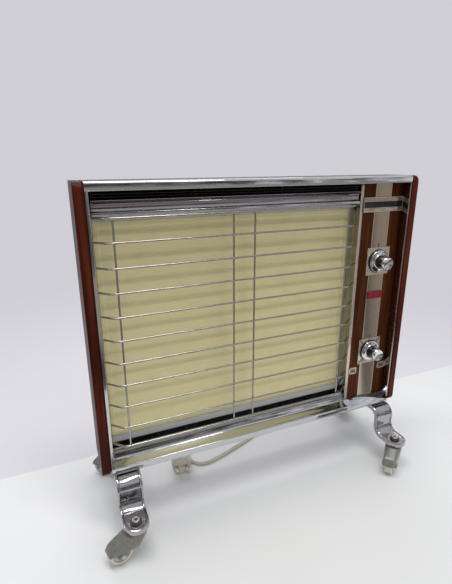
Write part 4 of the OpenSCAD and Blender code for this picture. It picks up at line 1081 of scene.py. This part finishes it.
def knob(label, z, pointer, spread):
    """A knob at a height; its dark mark spreads to both sides of an angle, counterclockwise from the right."""
    foot = at(CONTROL_X, 17.4, z)
    mark = Vector((cos(radians(pointer)), sin(radians(pointer))))
    grip = lathe(label + "_black_grip", foot, FRONT, GRIP_PROFILE, 64)
    soften(grip, 0.2, 2, 30)
    hand_over(grip, label + "_grip", body=label + "_knob")
    skirt = ring(label + "_skirt", foot, FRONT, SKIRT_PROFILE, 96)
    cap = lathe(label + "_cap", foot, FRONT, CAP_PROFILE, 64)
    trim = join(label + "_chrome_trim", skirt, cap)
    soften(trim, 0.18, 2, 28)
    hand_over(trim, label + "_trim", body=label + "_knob", smooth=25)

    def on_mark(middle, normal):
        ray = Vector((middle.x - CONTROL_X, middle.z - z))
        on_skirt = 14.3 < ray.length < 21.2 and 10 < middle.y < 14
        return on_skirt and abs(degrees(ray.angle_signed(mark))) < spread

    accent(trim, FINISH["grip_black"], on_mark)


knob("selector", SELECTOR_Z, 238, 26)
knob("thermostat", THERMOSTAT_Z, 92, 3.8)

# %% [markdown]
# ## Legs
# A leg is a pressed strip with turned-down edges: it leaves the underside, bends down, bends forward again and
# ends in a round pad that holds the caster. Its cross-section is drawn once, pulled, spun, pulled and spun
# again along its side view. The pad is the outer half of the same section, spun half a turn about the pivot.

# %% Leg
LEG_X = 24.5
PAD_Y, PAD_Z = -57, -51.5
HALF_SECTION = [(-21.5, -9), (-21.5, -2.2), (-20.9, -0.7), (-19.7, 0), (-18.3, -0.1), (-17.4, -0.9)]
HALF_SECTION += [(-16.8, -1.9), (-0.01, -1.9)]
LEG_SECTION = HALF_SECTION + [(-x, z) for x, z in reversed(HALF_SECTION[:-1])]
strip = draw("leg_strip", [at(LEG_X + x, 34, z) for x, z in LEG_SECTION])
take_all()
pull(FRONT * 36 * MM)
bpy.ops.mesh.spin(steps=14, angle=-pi / 2, center=at(LEG_X, -2, -22), axis=RIGHT)
pull(DOWN * 14.5 * MM)
bpy.ops.mesh.spin(steps=12, angle=pi / 2, center=at(LEG_X, -39, -36.5), axis=RIGHT)
pull(FRONT * 18 * MM)
pad = draw("leg_pad", [at(LEG_X - x, PAD_Y, PAD_Z + z) for x, z in reversed(HALF_SECTION)])
take_all()
bpy.ops.mesh.spin(steps=32, angle=pi, center=at(LEG_X, PAD_Y, PAD_Z), axis=UP)
leg = join("leg_front_left_chrome", strip, pad)
edit(leg)
merge(MERGE_REACH * 3)
face_towards(leg, UP, at(LEG_X, 20, -1.9))
thicken(leg, 1.0)
soften(leg, 0.3, 2, 45)
print("leg", [round(v / MM, 1) for v in leg.dimensions])


def moved_copy(obj, corner, shift=0, half_turn=False):
    """A leg's copy, moved to the right, or turned half round the casing's upright middle line."""
    twin = copy_of(obj, f"leg_{corner}_chrome")
    twin.location = RIGHT * shift * MM
    if half_turn:
        middle = at(WIDTH / 2, DEPTH / 2, 0)
        twin.rotation_euler = (0, 0, pi)
        twin.location = Vector((2 * middle.x, 2 * middle.y, 0))
    settle(twin)
    return twin


right_leg = moved_copy(leg, "front_right", WIDTH - 2 * LEG_X)
rear_right_leg = moved_copy(leg, "rear_right", half_turn=True)
rear_left_leg = moved_copy(right_leg, "rear_left", half_turn=True)
hand_over(leg, "leg_front_left")
hand_over(right_leg, "leg_front_right")
hand_over(rear_left_leg, "leg_rear_left")
hand_over(rear_right_leg, "leg_rear_right")

# %% [markdown]
# Screws and pivots keep their solids' shape with eased edges. Each pivot head sits on a thin washer in the
# pad's recess. Washers and head crosses get nearly black steel, painted shade where little light reaches.

# %% Fasteners
PIVOTS = [(x, y) for y in (PAD_Y, DEPTH - PAD_Y) for x in (LEG_X, WIDTH - LEG_X)]
WASHER_PROFILE = [(4.3, -1.9), (9.2, -1.9), (9.5, -1.6), (9.5, -0.3), (9.2, 0), (4.3, 0)]
screws = refined("screws_and_pivots", "fasteners", 0.25)
washers = [ring("washer", at(x, y, PAD_Z), UP, WASHER_PROFILE, 32) for x, y in PIVOTS]
screws = hand_over(join("screws_and_pivots", screws, *washers), "fasteners")
HEAD_TOP = max(in_casing(v.co).z for v in screws.data.vertices if in_casing(v.co).y < -40)


def in_painted_shade_recess(middle, normal):
    """Whether a face lies on a pivot's washer or in the cross of its head, where shade is painted."""
    reach = min(Vector((middle.x - x, middle.y - y)).length for x, y in PIVOTS)
    cross = reach < 3.9 and (abs(normal.z) < 0.5 or middle.z < HEAD_TOP - 1)
    return cross or (6.6 < reach < 9.8 and middle.z < -50)


# Painted shade: the washers and the crosses of the heads are nearly black steel.
accent(screws, RECESS_STEEL_PAINTED_SHADE, in_painted_shade_recess)

# %% [markdown]
# ## Casters
# A caster is a moulded fork that hangs from its pivot and trails its wheel. The fork is a copy of its solid
# with generous rounding. The wheel is turned: a ribbed hub, a thin web and a crowned tread with soft shoulders.
# It rolls on its own body, so it rides on that one.

# %% Casters
HALF_WHEEL = [
    (2.05, -8.6), (4.7, -8.6), (5.1, -8.2), (5.3, -4.4), (13.6, -4.0), (14.2, -4.6), (14.4, -7.2), (15.2, -8),
    (17.6, -8), (18.9, -7.4), (19.7, -6.2), (20, -4.6), (20, -1.2), (19.6, -0.8),
]
WHEEL_PROFILE = HALF_WHEEL + [(r, -h) for r, h in reversed(HALF_WHEEL)]
JOINTS = {joint["name"]: joint for joint in frame["record"]["behaviour"]["joints"]}
for corner in ("front_left", "front_right", "rear_left", "rear_right"):
    fork, axle, wheel = "fork_" + corner, "axle_" + corner, "wheel_" + corner
    caster, roll = "caster_" + corner, JOINTS["roll_" + corner]
    hand_over(refined(fork + "_moulding", fork, 0.7, 3, 40), fork, body=caster, smooth=40)
    hand_over(refined(axle + "_rivet", axle, 0.5, 3), axle, body=caster)
    tread = ring(wheel + "_tread", roll["pos_m"], roll["axis"], WHEEL_PROFILE, 64)
    hand_over(tread, wheel, body=wheel + "_spin", smooth=30)

# %% [markdown]
# ## Back and base
# The back cover is one pressed sheet with rows of slots. Its copy gets eased edges, so that the slots show a
# rolled lip. The base pan is treated alike.

# %% Back and base
hand_over(refined("back_cover", "rear_cover", 0.35), "rear_cover")
hand_over(refined("base_sheet", "base_pan", 0.3), "base_pan")

# %% [markdown]
# ## Floor, room and light
# The floor is plain and pale and takes the casing's shadow. Chrome shows what stands round it, so the room
# matters as much as the lamps: it is pale behind the radiator, as in the photograph, and darker towards the
# camera, with soft patches such as furniture makes. The key light is a low wide window in front, hidden from
# the chrome, and it is its light that draws a soft shadow band of every guard wire on the cream panel. Strips
# overhead and behind fill the rest.

# %% World
WALL_TONE = (0.63, 0.62, 0.665)
ROOM_DARK = (0.085, 0.085, 0.09)
ROOM_CEILING = (0.75, 0.78, 0.82)


def straight_view(tree):
    """1 for what the camera sees by itself or through glass, 0 for what is mirrored or lit."""
    path = node(tree, "LightPath", {}).outputs
    return combined(tree, "MAXIMUM", path["Is Camera Ray"], path["Is Transmission Ray"])


world = bpy.data.worlds.new("room")
bpy.context.scene.world = world
world.use_nodes = True
tree = world.node_tree
way = node(tree, "TexCoord", {}).outputs["Generated"]
along = node(tree, "SeparateXYZ", {0: way}).outputs
aside = to_range(tree, along["X"], 0.0, 1.0, 0.0, 0.7)
low_room = ramp(tree, aside, [(0.0, (0.12, 0.115, 0.11)), (0.4, 0.16), (0.9, (0.42, 0.42, 0.44))])
things = noise(tree, node(tree, "Mapping", {"Vector": way, "Scale": (8, 8, 7)}).outputs[0], detail=3.0)
patches = ramp(tree, things, [(0.42, 0.3), (0.47, 0.8), (0.53, 1.1), (0.58, 2.0)])
low_room = node(tree, "VectorMath", {0: low_room, 1: patches}, operation="MULTIPLY").outputs[0]
height = to_range(tree, along["Z"], 0.0, 1.0, 0.36, 1.0)
ceiling = ramp(tree, height, [(0.0, 0.0), (0.2, 0.95), (0.3, 0.4), (0.45, 1.0), (0.7, 0.5), (1.0, 0.7)])
behind = to_range(tree, along["Y"], 0.0, 1.0, 0.0, 0.4)
shine = mixed(tree, behind, mixed(tree, ceiling, low_room, ROOM_CEILING), WALL_TONE)
background = tree.nodes["Background"]
tree.links.new(mixed(tree, straight_view(tree), shine, WALL_TONE), background.inputs["Color"])
background.inputs["Strength"].default_value = 1.0

# %% [markdown]
# The floor is one plain sheet. From a line a little behind the casing its colour turns to the wall's, and far
# out it melts into the room's tone, so no horizon shows. What the chrome mirrors of it ends 40 cm in front of
# the middle of the radiator, and beyond that line is the dark room.

# %% Floor
WALL_LINE = 0.181, 0.184
MIRROR_LINE = -0.40, -0.44
idle()
bpy.ops.mesh.primitive_plane_add(size=1, location=(0, 0, 0))
floor = named("floor")
floor.scale = (12, 12, 1)
settle(floor)
edit(floor)
take_all()
bpy.ops.mesh.subdivide(number_cuts=3)
idle()
FLOOR, tree, shader = new_material("pale_floor", (0.74, 0.745, 0.75), 0.55, Specular_IOR_Level=0.3)
place = object_place(tree)
deep = node(tree, "SeparateXYZ", {0: place}).outputs["Y"]
clouds = noise(tree, place, 3.0, 3.0)
shades = ramp(tree, clouds, [(0.3, (0.725, 0.735, 0.74)), (0.7, (0.76, 0.77, 0.775))])
tint = mixed(tree, to_range(tree, deep, 0.0, 1.0, *WALL_LINE), shades, (0.655, 0.645, 0.685))
feed(tree, shader, tint, smeared(tree, 0.5, 0.62, 2.0))
reach = node(tree, "VectorMath", {0: place}, operation="LENGTH").outputs["Value"]
far = to_range(tree, reach, 0.0, 1.0, 0.7, 1.8)
straight = straight_view(tree)
side = to_range(tree, deep, 0.0, 1.0, 0.3, -1.2)
room_tones = [(0.0, WALL_TONE), (0.33, ROOM_DARK), (0.62, ROOM_DARK), (0.9, (0.34, 0.31, 0.295))]
mirrored = ramp(tree, side, room_tones)
glow = node(tree, "Emission", {"Color": mixed(tree, straight, mirrored, WALL_TONE)})
outside = combined(tree, "MAXIMUM", to_range(tree, deep, 0.0, 1.0, *MIRROR_LINE), far)
in_mirror = combined(tree, "MULTIPLY", combined(tree, "SUBTRACT", 1.0, straight), outside)
in_view = combined(tree, "MULTIPLY", straight, far)
share = combined(tree, "MAXIMUM", in_mirror, in_view)
blend = node(tree, "MixShader", {0: share, 1: shader.outputs[0], 2: glow.outputs[0]})
tree.links.new(blend.outputs[0], tree.nodes["Material Output"].inputs["Surface"])
floor.data.materials.append(FLOOR)


# %% Lamps
def strip_lamp(name, place, target, size, power, mirrored=True):
    """A soft rectangular lamp at a place, aimed at a target; its first size runs along X."""
    data = bpy.data.lights.new(name, "AREA")
    data.shape = "RECTANGLE"
    data.size, data.size_y = size
    data.energy = power
    data.color = (1.0, 0.98, 0.95)
    lamp = bpy.data.objects.new(name, data)
    bpy.context.scene.collection.objects.link(lamp)
    lamp.visible_glossy = mirrored
    lamp.location = place
    lamp.rotation_euler = (Vector(target) - Vector(place)).to_track_quat("-Z", "Y").to_euler()


strip_lamp("low_window", (0, -1.43, 0.165), (0, 0, 0.3), (0.45, 0.31), 4.0, False)
strip_lamp("low_window_wide", (0.75, -1.45, 0.165), (0.1, 0, 0.3), (2.2, 0.31), 6.6, False)
strip_lamp("overhead_strip", (-0.25, -0.35, 2.9), (0, -0.1, 0.3), (2.3, 0.5), 46)
strip_lamp("rear_strip", (0.1, 1.7, 2.3), (0, 0, 0.3), (3.2, 0.4), 16)

# %% [markdown]
# ## Finish
# The last cell sets the plain Standard view transform and leaves nothing selected.

# %% Finish
bpy.context.scene.view_settings.view_transform = "Standard"
idle()
